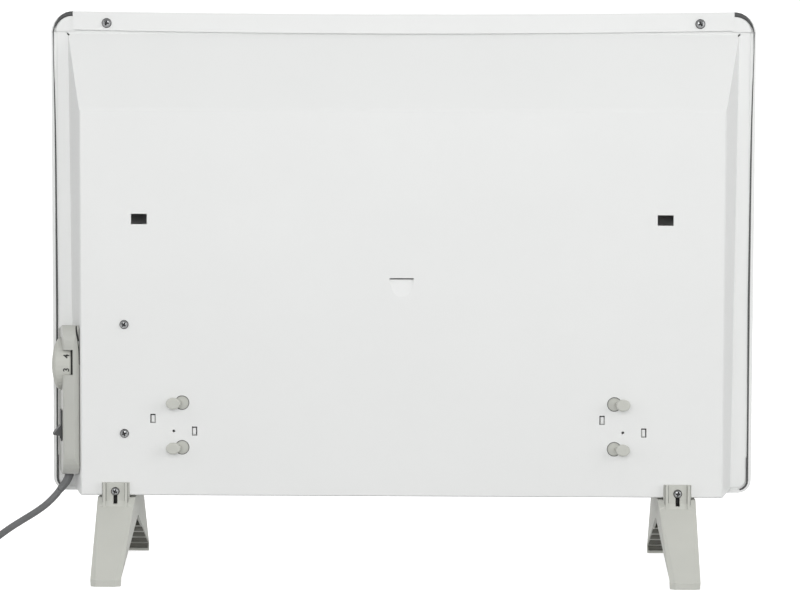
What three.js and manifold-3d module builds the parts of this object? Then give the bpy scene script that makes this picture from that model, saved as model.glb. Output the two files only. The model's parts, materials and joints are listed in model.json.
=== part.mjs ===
// Panel convector heater on two moulded feet, with its controls and mains lead at one end.
// Millimetres, +Z up. The origin is on the floor under the middle of the casing:
// -Y is the front that faces the room, +Y the back, and +X the end with the controls.
import * as THREE from "three";
import { mergeVertices } from "three/addons/utils/BufferGeometryUtils.js";
import Module from "manifold-3d";

const wasm = await Module();
wasm.setup();

// ---------------------------------------------------------------- driving dimensions

// Clearances
const seatGap = 0.3; // between faces that touch
const holeGap = 0.3; // round a screw, bush or pin
const turnGap = 0.8; // round anything that turns

// Casing: a front pressing with a rim, closed by a pan-shaped back cover
const panelWidth = 592;
const halfWidth = panelWidth / 2;
const panelHeight = 405;
const bodyDepth = 54;
const floorClearance = 64;
const topCornerRadius = 18;
const bottomCornerRadius = 11;
const topEdgeDip = 2.1;
const frontEdgeRound = 3;
const panelSheet = 0.8;
const rimSheet = 2.6; // the rim is hemmed
const rimDepth = 14;
const ledgeWidth = 14;
const ledgeSheet = 1.2;
const coverSheet = 1;
const sealWidth = 1.6; // the dark strip between the rim and the flange
const sealDepth = 1.1;
const flangeSetBack = 1;
const flangeTopTrim = 5.4;
const panMarginTop = 14; // from the panel's side to the pan, at the flange's top
const panMarginBottom = 17.4; // and at its bottom
const panMarginBack = 30; // and to the back face
const panTopMargin = 19;
const panTopSlope = 65.5;
const panBottomMargin = 3.2; // at the flange
const panBottomSlope = 1.8;
const bendRadius = 1.4;

// Back face
const hookSlotWidth = 13.1;
const hookSlotHeight = 8.6;
const hookMargin = 79; // from the panel's side to a slot's middle
const hookHeight = 295;
const lanceWidth = 20;
const lanceHeight = 14.5;
const lanceZ = 245.7;
const lanceDepth = 1.8;
const lanceSlit = 1.1;
const intakeSlotWidth = 6;
const intakeSlotLength = 26;
const intakePitch = 17;
const intakeMargin = 92;
const intakeY = 5;
const reliefSlotLength = 3.2;
const reliefSlotWidth = 1.3;

// Warm air outlet in the front
const outletWidth = panelWidth - 100;
const outletHeight = 28;
const outletZ = 431;
const outletBorder = 2.5;
const outletFlange = 5;
const outletDepth = 4;
const louvreCount = 4;
const louvreThickness = 1.4;
const louvreAngle = 35;
const louvreRibCount = 11;
const louvreRibThickness = 2;

// Top rail and corner caps
const railLength = panelWidth - 2 * topCornerRadius - 1;
const railHeight = 14.9;
const railTopMargin = 0.6;
const railDepth = 2.1;
const railSheet = 1;
const railBottomDip = 2.9;
const railEndPlateSheet = 0.8;
const railEndPlateHeight = 12.6;
const railScrewMargin = 47;
const railScrewDrop = 10;
const capThickTop = 3.7;
const capThickSide = 1.6;
const capDepth = 9.8;
const capDrop = 17;

// Heating element and its brackets
const elementZ = 125;
const elementY = 3;
const elementHeight = 58;
const elementDepth = 26;
const finCount = 7;
const finThickness = 1.8;
const elementCore = 7;
const bracketMargin = 110.05; // from the panel's side to a bracket's hole
const bracketOffset = 2.65;
const bracketSheet = 1;
const bracketWidth = 42;
const bracketHeight = 22;
const bracketRise = 5; // from the fixing hole to the middle of the plate
const bracketHoleZ = 119.4;
const bracketHoleRadius = 1.2;
const tabSlotWidth = 4.3;
const tabSlotHeight = 7.5;
const tabUpperRise = 10.4;
const tabReach = 17.25;
const armHeight = 62;
const insulatorRadius = 5.2;
const insulatorFlangeRadius = 8;
const insulatorLength = 13;
const terminalRadius = 1.5;
const spadeWidth = 6.3;
const spadeThickness = 0.8;
const spadeLength = 8;
const shieldSheet = 0.8;
const shieldHeight = 240;
const shieldOverhang = 8;
const shieldLip = 9;

// Overheat cut-out
const cutoutZ = 263;
const cutoutRadius = 8;
const cutoutDepth = 9;
const clipWidth = 26;
const clipHeight = 26;
const clipSheet = 0.8;

// Control housing on the +X end
const housingBottom = 81.2;
const housingTop = 206.6;
const housingTopFall = 5; // from the rear to the flange
const housingWall = 2;
const housingProud = 0.5;
const housingRearInner = 24.6; // from the panel's side to the rear face's inner edge
const housingRearOuter = 15.4; // and to its outer edge
const housingFlangeOuter = 5.2; // and to the outer edge at the flange
const housingChamfer = 3;
const housingTopCurve = 17; // height of the rear face's curve into the top
const housingTopCurveDepth = 6.5;
const housingBottomCurve = 19;
const housingBottomCurveDepth = 15;
const housingCornerRadius = 2.2;
const sideCutBottom = 92;
const sideCutTop = 200;
const sideCutFront = -11;
const sideCutRear = 20;
const windowHeight = 20.8;
const windowZ = 176;
const windowLip = 0.9;
const windowGap = 1.8;

// Thermostat and its knob
const knobZ = 173.3;
const knobRadius = 21.8;
const knobRimWidth = 12.2;
const knobWall = 2.5;
const knobDomeHeight = 6.1;
const knobEdgeChamfer = 0.8;
const knobHubRadius = 5.2;
const knobRecess = 9.5;
const spindleRadius = 3;
const spindleGrip = 9.7;
const thermostatWidth = 24;
const thermostatLength = 25;
const bushingRadius = 4.6;
const bushingLength = 6.5;
const nutRadius = 7.2;
const nutThickness = 2.5;
const chassisSheet = 1.5;
const chassisWallX = halfWidth - 34.5;
const chassisLength = 41;
const chassisBottom = 108;
const chassisTop = 214;
const chassisWallBottom = 146;
const chassisWallTop = 199;
const chassisWallFront = -9;
const housingScrewX = halfWidth - 66.4;
const housingScrewZs = [117.2, 207.7];

// Rocker switch, square to the housing's sloping side
const switchZ = 122.7;
const switchY = 14.5;
const switchOpeningLength = 22.6;
const switchOpeningWidth = 12.2;
const switchWall = 0.95;
const switchBezel = 1.4;
const switchBezelHeight = 1;
const switchDepth = 16;
const switchPocket = 8.4;
const rockerWidth = 11.4;
const rockerWing = 10.5;
const rockerRise = 1.3;
const rockerTilt = 20;
const rockerSkirt = 8;
const rockerSkirtDepth = 5.5;

// Cord cleats on the back
const cleatXs = [halfWidth - 114.3, 119.8 - halfWidth];
const cleatZs = [143, 105.8];
const cleatRadius = 5.5;
const cleatCollar = 1.6;
const cleatCollarDepth = 2;
const cleatRecess = 0.6;
const cleatStemRadius = 2.2;
const cleatStemOffset = 2.8;
const cleatHeadOffset = 6.4;
const cleatHeadLength = 11.8;
const cleatHeadWidth = 9.7;
const cleatHeadThickness = 4;
const cleatGap = 6.5;

// Feet
const footMargin = 63.2; // from the panel's side to a foot's middle
const footOffset = 4.1;
const footDepth = 170;
const footTopHalfWidth = 15.6;
const footBottomHalfWidth = 12.1;
const footShoulder = 28.5;
const footToeHeight = 5.5;
const footFaceTopY = 31.4;
const footFaceTopZ = 57;
const footWall = 2;
const footSole = 1.8;
const archHalfWidth = 6;
const archApexZ = 45;
const archFootZ = 6.8;
const toeThickness = 4;
const footRibZs = [7.5, 15, 22.5, 30];
const footRibThickness = 1.2;
const footEdgeTop = 1.2;
const footEdgeBottom = 4.2;
const footEdgeDepth = 2; // of the same bevel, on the foot's flank
const tabTopZ = 76.5;
const tabHalfWidth = 11.5;
const tabThickness = 3;
const tabRibX = 9;
const tabRibWidth = 2.4;
const tabRibHeight = 1.9;
const footSlotWidth = 3.5;
const footSlotBottom = 58.8;
const footScrewZ = 69.3;

// Screws
const screwShankRadius = 1.5;
const screwLength = 8;
const railScrewHeadRadius = 3.75;
const housingScrewHeadRadius = 3.35;
const footScrewHeadRadius = 3.2;
const screwHeadHeight = 2.1;

// Mains lead: its route is chosen by hand up to the coil, with X from the panel's side
const cordDiameter = 5.8;
const cordLift = 1.1;
const cordExit = [halfWidth - 16.2, 3];
const reliefRadiusTop = 4;
const reliefRadiusEnd = 3.2;
const reliefFlangeThickness = 2.2;
const reliefFlange = [-3.5, 4.1, -5.5, 5]; // its extent round the lead, square to the casing's side
const reliefRoute = [
  [-16.2, 3, 87.5],
  [-16.2, 3, 80.4],
  [-15.6, 3.2, 77.6],
  [-14.2, 3.6, 74.4],
  [-11.6, 4.2, 70.7],
  [-8.5, 4.9, 66.8],
];
const cordRoute = [
  [-8.3, 4.94, 66.6],
  [-4.6, 5.4, 61.9],
  [-0.1, 5.6, 57.3],
  [4, 5.6, 53.6],
  [8.4, 5.2, 50.3],
  [12.9, 4.6, 47.2],
  [17.3, 3.8, 44.4],
  [21.8, 2.9, 41.6],
  [26.4, 1.9, 38.7],
  [31.6, 0.7, 35.4],
  [36.9, -0.6, 31.8],
  [44, -2.5, 26.6],
  [51, -4.4, 21.3],
  [58.5, -6.4, 15.6],
  [66, -8.1, 10.5],
  [73.5, -9.3, 6.7],
  [81, -9.9, 4.5],
  [89.9, -10, 4],
];
const coilReach = 96; // from the panel's side to the coil's middle
const coilRadius = 34.8;
const coilPitch = 6.4;
const coilLowerTurns = 3;
const coilClimb = 0.5;
const coilUpperTurns = 2.75;
const coilSteps = 24;
const coilLeadOut = 14;
const tieThickness = 0.8;
const tieWidth = 8;
const tieClearance = 0.6;
const tieInset = 1.6; // the bundle's middle, inside the coil's own radius
const tieTurn = 0.75;
const plugLength = 42;
const plugHalfWidth = 17.5;
const plugHalfHeight = 10;
const plugNeckLength = 24.4;
const plugNeckRadius = 3.6;
const plugPinSpacing = 19;
const plugPinRadius = 2.4;
const plugPinLength = 19;
const leadRadius = 1.2;

// ---------------------------------------------------------------- derived places

const panelBottom = floorClearance;
const panelTop = floorClearance + panelHeight;
const frontY = -bodyDepth / 2;
const backY = bodyDepth / 2;
const rimY = frontY + rimDepth;
const flangeY = rimY - flangeSetBack;
const flangeFrontY = flangeY - coverSheet;
const ledgeY = flangeFrontY - seatGap;
const coverInnerY = backY - coverSheet;
const innerSeatY = coverInnerY - seatGap;
const flangeInset = rimSheet + 2 * seatGap + sealWidth;
const panTop = panelTop - panTopMargin;
const panBottom = panelBottom + panBottomMargin;
const elementLeft = bracketOffset + bracketMargin - halfWidth;
const elementRight = bracketOffset + halfWidth - bracketMargin;
const armInset = bracketWidth / 2;
const housingRearY = backY + housingProud;
const knobY = housingRearY - knobRadius;
const windowInnerX = halfWidth - housingRearInner + windowLip;
const knobInnerX = windowInnerX + windowGap;
const cordRadius = cordDiameter / 2;
const footReach = halfWidth - footMargin;
const footXs = { foot_right: footOffset + footReach, foot_left: footOffset - footReach };
const lastCordPoint = cordRoute.at(-1);
const coilCentre = [halfWidth + coilReach, lastCordPoint[1] + coilRadius + (coilPitch * coilLowerTurns) / 2];

// ---------------------------------------------------------------- materials

function finish(color, roughness, metalness) {
  return new THREE.MeshStandardMaterial({ color, roughness, metalness });
}
const whitePaint = finish(0xeaeae8, 0.45, 0.05);
const greyPlastic = finish(0xc4c5bf, 0.5, 0);
const darkPlastic = finish(0x4b4c4c, 0.55, 0);
const blackPlastic = finish(0x232425, 0.5, 0);
const cordSheath = finish(0x5f6061, 0.55, 0);
const zinc = finish(0xb9bcbd, 0.3, 0.9);
const aluminium = finish(0xc9ccce, 0.35, 0.9);
const steel = finish(0xaeb1b3, 0.4, 0.85);
const ceramic = finish(0xefece2, 0.6, 0);
const nickel = finish(0xd0d0cc, 0.2, 0.95);
const redLead = finish(0x9c3b32, 0.5, 0);
const blueLead = finish(0x37568c, 0.5, 0);

// ---------------------------------------------------------------- geometry helpers

const radians = THREE.MathUtils.degToRad;

function point(x, y) {
  return new THREE.Vector2(x, y);
}

function vector([x, y, z]) {
  return new THREE.Vector3(x, y, z);
}

// Points on an arc from one angle to another, in degrees, both ends included.
function arc(x, y, radius, from, to, steps) {
  return Array.from({ length: steps + 1 }, (_, i) => {
    const angle = radians(from + ((to - from) * i) / steps);
    return point(x + radius * Math.cos(angle), y + radius * Math.sin(angle));
  });
}

// A full circle as a regular outline of that many sides.
function circle(x, y, radius, sides) {
  return arc(x, y, radius, 0, 360 - 360 / sides, sides - 1);
}

function rectangle(x0, x1, y0, y1) {
  return [point(x0, y0), point(x1, y0), point(x1, y1), point(x0, y1)];
}

// A closed outline with the corners at the given radii turned into arcs.
function rounded(corners, radii, steps = 3) {
  return corners.flatMap((corner, i) => {
    if (!radii[i]) return [corner];
    const before = corners[(i + corners.length - 1) % corners.length];
    const after = corners[(i + 1) % corners.length];
    const back = before.clone().sub(corner).normalize();
    const on = after.clone().sub(corner).normalize();
    const half = Math.acos(back.dot(on)) / 2;
    const reach = radii[i] / Math.tan(half);
    const start = corner.clone().addScaledVector(back, reach);
    const end = corner.clone().addScaledVector(on, reach);
    return Array.from({ length: steps + 1 }, (_, k) => {
      const t = k / steps;
      const a = start.clone().lerp(corner, t);
      const b = corner.clone().lerp(end, t);
      return a.lerp(b, t);
    });
  });
}

// A geometry as a solid that can be joined and cut.
function solid(geometry) {
  const bare = geometry.clone();
  bare.deleteAttribute("normal");
  bare.deleteAttribute("uv");
  const merged = mergeVertices(bare, 1e-3);
  const vertProperties = new Float32Array(merged.attributes.position.array);
  const triVerts = new Uint32Array(merged.index.array);
  return new wasm.Manifold(new wasm.Mesh({ numProp: 3, vertProperties, triVerts }));
}

function geometryOf(body) {
  const { vertProperties, triVerts } = body.getMesh();
  const geometry = new THREE.BufferGeometry();
  geometry.setAttribute("position", new THREE.BufferAttribute(vertProperties, 3));
  geometry.setIndex(new THREE.BufferAttribute(triVerts, 1));
  geometry.computeVertexNormals();
  return geometry;
}

function union(bodies) {
  return bodies.reduce((whole, body) => whole.add(body));
}

function cut(body, tools) {
  return tools.reduce((whole, tool) => whole.subtract(tool), body);
}

function prism(outline, depth, holes = []) {
  const shape = new THREE.Shape(outline);
  shape.holes = holes.map((hole) => new THREE.Path(hole));
  return new THREE.ExtrudeGeometry(shape, { depth, bevelEnabled: false });
}

const xAxis = new THREE.Vector3(1, 0, 0);
const yAxis = new THREE.Vector3(0, 1, 0);
const zAxis = new THREE.Vector3(0, 0, 1);

function basis(x, y, z, [px, py, pz]) {
  return new THREE.Matrix4().makeBasis(x, y, z).setPosition(px, py, pz);
}

// Prisms of an outline drawn in (Y, Z), in (X, Z) or in (X, Y), between two planes.
function alongX(outline, x0, x1, holes) {
  return solid(prism(outline, x1 - x0, holes).applyMatrix4(basis(yAxis, zAxis, xAxis, [x0, 0, 0])));
}

function alongY(outline, y0, y1, holes) {
  const frontwards = yAxis.clone().negate();
  return solid(prism(outline, y1 - y0, holes).applyMatrix4(basis(xAxis, zAxis, frontwards, [0, y1, 0])));
}

function alongZ(outline, z0, z1, holes) {
  return solid(prism(outline, z1 - z0, holes).applyMatrix4(basis(xAxis, yAxis, zAxis, [0, 0, z0])));
}

function block(x0, x1, y0, y1, z0, z1) {
  return alongZ(rectangle(x0, x1, y0, y1), z0, z1);
}

// A solid of revolution: the profile is (radius, distance along the axis), and the axis starts
// at the origin given.
function turned(profile, sides, direction, origin = [0, 0, 0]) {
  const turn = new THREE.Quaternion().setFromUnitVectors(yAxis, direction);
  const points = profile.map(([radius, along]) => point(radius, along));
  return new THREE.LatheGeometry(points, sides).applyQuaternion(turn).translate(...origin);
}

function rod(radius, sides, direction, origin, length) {
  return solid(turned([[0, 0], [radius, 0], [radius, length], [0, length]], sides, direction, origin));
}

// A closed skin over rings of equal count. Each ring runs anticlockwise as seen when looking from
// the first ring towards the last.
function loft(rings) {
  const count = rings[0].length;
  const positions = rings.flat().flatMap((p) => [p.x, p.y, p.z]);
  const index = [];
  for (let i = 0; i + 1 < rings.length; i += 1) {
    for (let j = 0; j < count; j += 1) {
      const a = i * count + j;
      const b = i * count + ((j + 1) % count);
      index.push(a, a + count, b + count, a, b + count, b);
    }
  }
  const last = (rings.length - 1) * count;
  for (const [p, q, r] of capFaces(rings[0])) index.push(p, q, r);
  for (const [p, q, r] of capFaces(rings.at(-1))) index.push(last + p, last + r, last + q);
  const geometry = new THREE.BufferGeometry();
  geometry.setAttribute("position", new THREE.Float32BufferAttribute(positions, 3));
  geometry.setIndex(index);
  geometry.computeVertexNormals();
  return geometry;
}

// Triangles over a flat ring, turned the same way as the ring.
function capFaces(ring) {
  const normal = new THREE.Vector3();
  ring.forEach((p, i) => {
    normal.add(new THREE.Vector3().crossVectors(p, ring[(i + 1) % ring.length]));
  });
  normal.normalize();
  const across = ring[1].clone().sub(ring[0]).normalize();
  const up = new THREE.Vector3().crossVectors(normal, across);
  const flat = ring.map((p) => point(p.dot(across), p.dot(up)));
  return THREE.ShapeUtils.triangulateShape(flat, []);
}

// A tube with its own radius at each point of a path; reference is never along the path.
function sweep(path, radii, sides, reference) {
  const rings = path.map((p, i) => {
    const before = path[Math.max(i - 1, 0)];
    const after = path[Math.min(i + 1, path.length - 1)];
    const along = after.clone().sub(before).normalize();
    const side = new THREE.Vector3().crossVectors(reference, along).normalize();
    const up = new THREE.Vector3().crossVectors(along, side);
    return Array.from({ length: sides }, (_, k) => {
      const angle = (-2 * Math.PI * (k + 0.5)) / sides;
      const offset = side.clone().multiplyScalar(Math.cos(angle)).addScaledVector(up, Math.sin(angle));
      return p.clone().addScaledVector(offset, radii[i]);
    });
  });
  return loft(rings);
}

// A plain tube along a smooth curve through points.
function tube(points, radius, sides, steps) {
  const section = new THREE.Shape(circle(0, 0, radius, sides));
  const extrudePath = new THREE.CatmullRomCurve3(points.map(vector), false, "centripetal");
  return new THREE.ExtrudeGeometry(section, { steps, bevelEnabled: false, extrudePath });
}

// A large block on the far side of a plane, to plane an edge off a body.
function beyond(planePoint, normal) {
  const size = 400;
  const turn = new THREE.Quaternion().setFromUnitVectors(zAxis, normal.clone().normalize());
  const far = new THREE.BoxGeometry(size, size, size).translate(0, 0, size / 2);
  return solid(far.applyQuaternion(turn).translate(planePoint.x, planePoint.y, planePoint.z));
}

// ---------------------------------------------------------------- the assembly

const heater = new THREE.Group();

function place(name, shape, material, position = [0, 0, 0], parent = heater) {
  const geometry = shape.isBufferGeometry ? shape : geometryOf(shape);
  const mesh = new THREE.Mesh(geometry, material);
  mesh.name = name;
  mesh.position.set(...position);
  parent.add(mesh);
  return mesh;
}

// ---------------------------------------------------------------- casing

const cornerSteps = 6;
const dipSteps = 8;

// The drop of the top edge below its ends, as a shallow arc.
function dipAt(x, dip, halfRun) {
  return dip * Math.max(0, 1 - (x / halfRun) ** 2);
}

// The panel's outline in (X, Z), brought in all round by the inset.
function panelOutline(inset) {
  const side = halfWidth - inset;
  const top = panelTop - inset;
  const bottom = panelBottom + inset;
  const upper = topCornerRadius - inset;
  const lower = Math.max(bottomCornerRadius - inset, 1);
  const run = side - Math.max(upper, 1);
  const high = Math.max(upper, 1);
  const dipped = Array.from({ length: dipSteps - 1 }, (_, i) => {
    const x = run - (2 * run * (i + 1)) / dipSteps;
    return point(x, top - dipAt(x, topEdgeDip, run));
  });
  return [
    ...arc(side - lower, bottom + lower, lower, -90, 0, cornerSteps),
    ...arc(run, top - high, high, 0, 90, cornerSteps),
    ...dipped,
    ...arc(-run, top - high, high, 90, 180, cornerSteps),
    ...arc(lower - side, bottom + lower, lower, 180, 270, cornerSteps),
  ];
}

function ringAtY(outline, y) {
  return outline.map((p) => new THREE.Vector3(p.x, y, p.y));
}

// The front pressing's rounded edge, then its rim.
function pressing(inset, face, back) {
  const round = frontEdgeRound;
  return solid(
    loft([
      ringAtY(panelOutline(inset + round), face),
      ringAtY(panelOutline(inset + round * 0.3), face + round * 0.3),
      ringAtY(panelOutline(inset), face + round),
      ringAtY(panelOutline(inset), back),
    ]),
  );
}

// The outline of a corner cap in (X, Z) at the +X end, grown on every side by some margin.
function capOutline(margin) {
  const x = halfWidth - topCornerRadius;
  const z = panelTop - topCornerRadius;
  const start = THREE.MathUtils.radToDeg(Math.asin((topCornerRadius - capDrop - margin) / topCornerRadius));
  const steps = 10;
  const outer = arc(x, z, topCornerRadius + margin * 4, start, 90, steps);
  const inner = outer.map((_, i) => {
    const t = i / steps;
    const thick = capThickSide + (capThickTop - capThickSide) * t * t + margin;
    const angle = radians(start + (90 - start) * t);
    return point(x + (topCornerRadius - thick) * Math.cos(angle), z + (topCornerRadius - thick) * Math.sin(angle));
  });
  const end = railLength / 2 - margin + seatGap;
  return [
    ...outer,
    point(end, panelTop + margin * 4),
    point(end, panelTop - capThickTop - margin),
    ...inner.reverse(),
  ];
}

function mirrored(outline) {
  return outline.map((p) => point(-p.x, p.y)).reverse();
}

const capRearY = rimY + seatGap;
const capFrontY = capRearY - capDepth;
const knobRoomX = knobInnerX - turnGap;
const railScrewX = halfWidth - railScrewMargin;
const railScrewZ = panelTop - railScrewDrop;
const railScrewAt = [railScrewX, -railScrewX];
const outletOutline = rectangle(
  -outletWidth / 2,
  outletWidth / 2,
  outletZ - outletHeight / 2,
  outletZ + outletHeight / 2,
);

function holesAlongY(places, radius, y0, y1, sides = 16) {
  return places.map(([x, z]) => rod(radius, sides, yAxis, [x, y0, z], y1 - y0));
}

// The room that the knob turns in, out to some X.
function knobRoom(outerX) {
  return rod(knobRadius + turnGap, 40, xAxis, [knobRoomX, knobY, knobZ], outerX - knobRoomX);
}

function frontPanel() {
  const shell = cut(pressing(0, frontY, rimY), [pressing(rimSheet, frontY + panelSheet, rimY + 1)]);
  const ledgeOuter = panelOutline(rimSheet / 2);
  const ledgeInner = panelOutline(rimSheet / 2 + ledgeWidth);
  const ledge = alongY(ledgeOuter, ledgeY - ledgeSheet, ledgeY, [ledgeInner]);
  const capSeat = capOutline(seatGap);
  const tools = [
    alongY(outletOutline, frontY - 1, frontY + panelSheet + 1),
    alongY(capSeat, capFrontY - seatGap, rimY + 1),
    alongY(mirrored(capSeat), capFrontY - seatGap, rimY + 1),
    knobRoom(halfWidth - rimSheet - seatGap / 2),
    ...holesAlongY(
      railScrewAt.map((x) => [x, railScrewZ]),
      screwShankRadius + holeGap,
      ledgeY - ledgeSheet - 1,
      ledgeY + 1,
    ),
  ];
  return cut(shell.add(ledge), tools);
}

// How far back a depth is, from 0 at the flange to 1 at the back face.
function panShare(y) {
  return (y - flangeY) / (backY - flangeY);
}

// Half the pan's width at a depth and a height: its sides lean in towards the back and, at the
// flange, a little towards the bottom.
function panSideAt(y, z) {
  const rise = (z - panBottom) / (panTop - panBottom);
  const margin = THREE.MathUtils.lerp(panMarginBottom, panMarginTop, rise);
  return halfWidth - THREE.MathUtils.lerp(margin, panMarginBack, panShare(y));
}

function panTopAt(y) {
  return panTop - panTopSlope * panShare(y);
}

function panBottomAt(y) {
  return panBottom - panBottomSlope * panShare(y);
}

function panRing(y, inset) {
  const low = panSideAt(y, panBottomAt(y)) - inset;
  const high = panSideAt(y, panTopAt(y)) - inset;
  const [bottom, top] = [panBottomAt(y) + inset, panTopAt(y) - inset];
  return ringAtY([point(-low, bottom), point(low, bottom), point(high, top), point(-high, top)], y);
}

// A short slot across the bend at an upper corner of the pan, along the corner's diagonal.
function reliefSlot(side) {
  const [x, z] = [side * (halfWidth - panMarginTop), panTop];
  const turn = (side * Math.PI) / 4;
  const long = reliefSlotLength / 2;
  const wide = reliefSlotWidth / 2;
  const outline = rectangle(-long, long, -wide, wide).map((p) => p.rotateAround(point(0, 0), turn).add(point(x, z)));
  return alongY(outline, flangeFrontY - 1, flangeY + 3);
}

// The half-round tongue pressed in below its slit, as a wedge of the given depth.
function lanceWedge(depth, growth, rearY) {
  const outline = [
    point(-lanceWidth / 2 - growth, lanceZ),
    ...arc(0, 0, 1, 180, 360, 12).map((p) =>
      point(p.x * (lanceWidth / 2 + growth), lanceZ + p.y * (lanceHeight + growth)),
    ),
  ];
  const whole = alongY(outline.slice(1), backY - depth - 3, rearY);
  const slope = Math.atan(lanceDepth / lanceHeight);
  const foot = new THREE.Vector3(0, backY - depth + lanceDepth, lanceZ - lanceHeight);
  return whole.subtract(beyond(foot, new THREE.Vector3(0, -Math.cos(slope), -Math.sin(slope))));
}

function bracketHoleXs() {
  return [elementRight, elementLeft];
}

// The two slots of a bracket, one each side of its hole, stepped in height.
function tabPlaces(holeX) {
  return [
    [holeX + tabReach, bracketHoleZ + tabUpperRise],
    [holeX - tabReach, bracketHoleZ],
  ];
}

function intakeSlots() {
  const count = Math.floor((2 * (halfWidth - intakeMargin)) / intakePitch) + 1;
  return Array.from({ length: count }, (_, i) => {
    const x = (i - (count - 1) / 2) * intakePitch;
    const half = intakeSlotWidth / 2;
    const y0 = intakeY - intakeSlotLength / 2;
    const low = panBottom - panBottomSlope - 1;
    return block(x - half, x + half, y0, y0 + intakeSlotLength, low, panBottom + coverSheet + 1);
  });
}

function backCover() {
  const flangeOutline = panelOutline(flangeInset);
  const trim = panelTop - flangeTopTrim;
  const flange = alongY(flangeOutline, flangeFrontY, flangeY).subtract(
    block(-halfWidth, halfWidth, flangeFrontY - 1, flangeY + 1, trim, panelTop + 1),
  );
  const outer = loft([
    panRing(flangeFrontY, 0),
    panRing(backY - bendRadius, 0),
    panRing(backY, bendRadius * 0.7),
  ]);
  const inner = loft([panRing(flangeFrontY - 1, coverSheet), panRing(coverInnerY, coverSheet)]);
  const shell = flange.add(solid(outer)).subtract(solid(inner));
  const tongue = lanceWedge(lanceDepth + coverSheet, coverSheet, backY);
  const tongueTools = [
    lanceWedge(lanceDepth, 0, backY + 1),
    block(-lanceWidth / 2, lanceWidth / 2, backY - 6, backY + 1, lanceZ, lanceZ + lanceSlit),
  ];
  const hookX = halfWidth - hookMargin;
  const sideCut = [halfWidth - panMarginBack - 4, halfWidth - panMarginTop];
  const hookTools = [hookX, -hookX].map((x) =>
    block(
      x - hookSlotWidth / 2,
      x + hookSlotWidth / 2,
      coverInnerY - 1,
      backY + 1,
      hookHeight - hookSlotHeight / 2,
      hookHeight + hookSlotHeight / 2,
    ),
  );
  const tabTools = bracketHoleXs()
    .flatMap(tabPlaces)
    .map(([x, z]) =>
      block(
        x - tabSlotWidth / 2,
        x + tabSlotWidth / 2,
        coverInnerY - 1,
        backY + 1,
        z - tabSlotHeight / 2,
        z + tabSlotHeight / 2,
      ),
    );
  const cleatPlaces = cleatXs.flatMap((x) => cleatZs.map((z) => [x, z]));
  const thin = [coverInnerY - 1, backY + 1];
  const tools = [
    ...tongueTools,
    ...hookTools,
    ...tabTools,
    ...intakeSlots(),
    ...holesAlongY(cleatPlaces, cleatRadius + holeGap, ...thin, 20),
    ...holesAlongY(bracketHoleXs().map((x) => [x, bracketHoleZ]), bracketHoleRadius, ...thin, 12),
    ...holesAlongY(housingScrewZs.map((z) => [housingScrewX, z]), screwShankRadius + holeGap, ...thin),
    ...holesAlongY(Object.values(footXs).map((x) => [x, footScrewZ]), screwShankRadius + holeGap, ...thin),
    ...holesAlongY(
      railScrewAt.map((x) => [x, railScrewZ]),
      screwShankRadius + holeGap,
      flangeFrontY - 1,
      flangeY + 1,
    ),
    reliefSlot(1),
    reliefSlot(-1),
    block(...sideCut, sideCutFront, sideCutRear, sideCutBottom, sideCutTop),
    knobRoom(halfWidth),
  ];
  return cut(shell.add(tongue), tools);
}

// The strip that closes the joint between the rim and the flange, from the lower end of a corner
// cap down the side and round the bottom corner.
function edgeSeal(side) {
  const outer = rimSheet + seatGap;
  const y0 = ledgeY + seatGap;
  const y1 = y0 + sealDepth;
  const strip = alongY(panelOutline(outer), y0, y1, [panelOutline(outer + sealWidth)]);
  const ends = [side * (halfWidth - bottomCornerRadius), side * halfWidth].sort((a, b) => a - b);
  return strip.intersect(block(...ends, y0 - 1, y1 + 1, panelBottom, panelTop - capDrop - 2 * seatGap));
}

place("front_panel", frontPanel(), whitePaint);
place("back_cover", backCover(), whitePaint);
place("edge_seal_right", edgeSeal(1), darkPlastic);
place("edge_seal_left", edgeSeal(-1), darkPlastic);

// ---------------------------------------------------------------- warm air outlet

function outletGrille() {
  const clear = seatGap;
  const grow = (by) =>
    rectangle(
      -outletWidth / 2 - by,
      outletWidth / 2 + by,
      outletZ - outletHeight / 2 - by,
      outletZ + outletHeight / 2 + by,
    );
  const seatY = frontY + panelSheet + clear;
  const rearY = seatY + outletDepth;
  const collar = alongY(grow(-clear), frontY + clear, rearY, [grow(-outletBorder)]);
  const flange = alongY(grow(outletFlange), seatY, seatY + louvreThickness, [grow(-outletBorder)]);
  const innerHeight = outletHeight - 2 * outletBorder;
  const pitch = innerHeight / (louvreCount + 1);
  const lean = Math.tan(radians(louvreAngle)) * (outletDepth / 2);
  const half = louvreThickness / 2;
  const y0 = frontY + 2 * clear;
  const reach = outletWidth / 2 - outletBorder + 1;
  const blades = Array.from({ length: louvreCount }, (_, i) => {
    const z = outletZ - innerHeight / 2 + pitch * (i + 1);
    const outline = [
      point(y0, z + lean - half),
      point(rearY - 1, z - lean - half),
      point(rearY - 1, z - lean + half),
      point(y0, z + lean + half),
    ];
    return alongX(outline, -reach, reach);
  });
  const ribs = Array.from({ length: louvreRibCount }, (_, i) => {
    const x = (outletWidth / (louvreRibCount + 1)) * (i + 1) - outletWidth / 2;
    const ribHalf = louvreRibThickness / 2;
    const tall = innerHeight / 2 + 1;
    return block(x - ribHalf, x + ribHalf, y0 + 1, rearY - 0.5, outletZ - tall, outletZ + tall);
  });
  return union([collar, flange, ...blades, ...ribs]);
}

place("outlet_grille", outletGrille(), whitePaint);

// ---------------------------------------------------------------- top rail and corner caps

const railHalf = railLength / 2;
const railFrontY = flangeY + seatGap;
const railRearY = railFrontY + railDepth;

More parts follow.
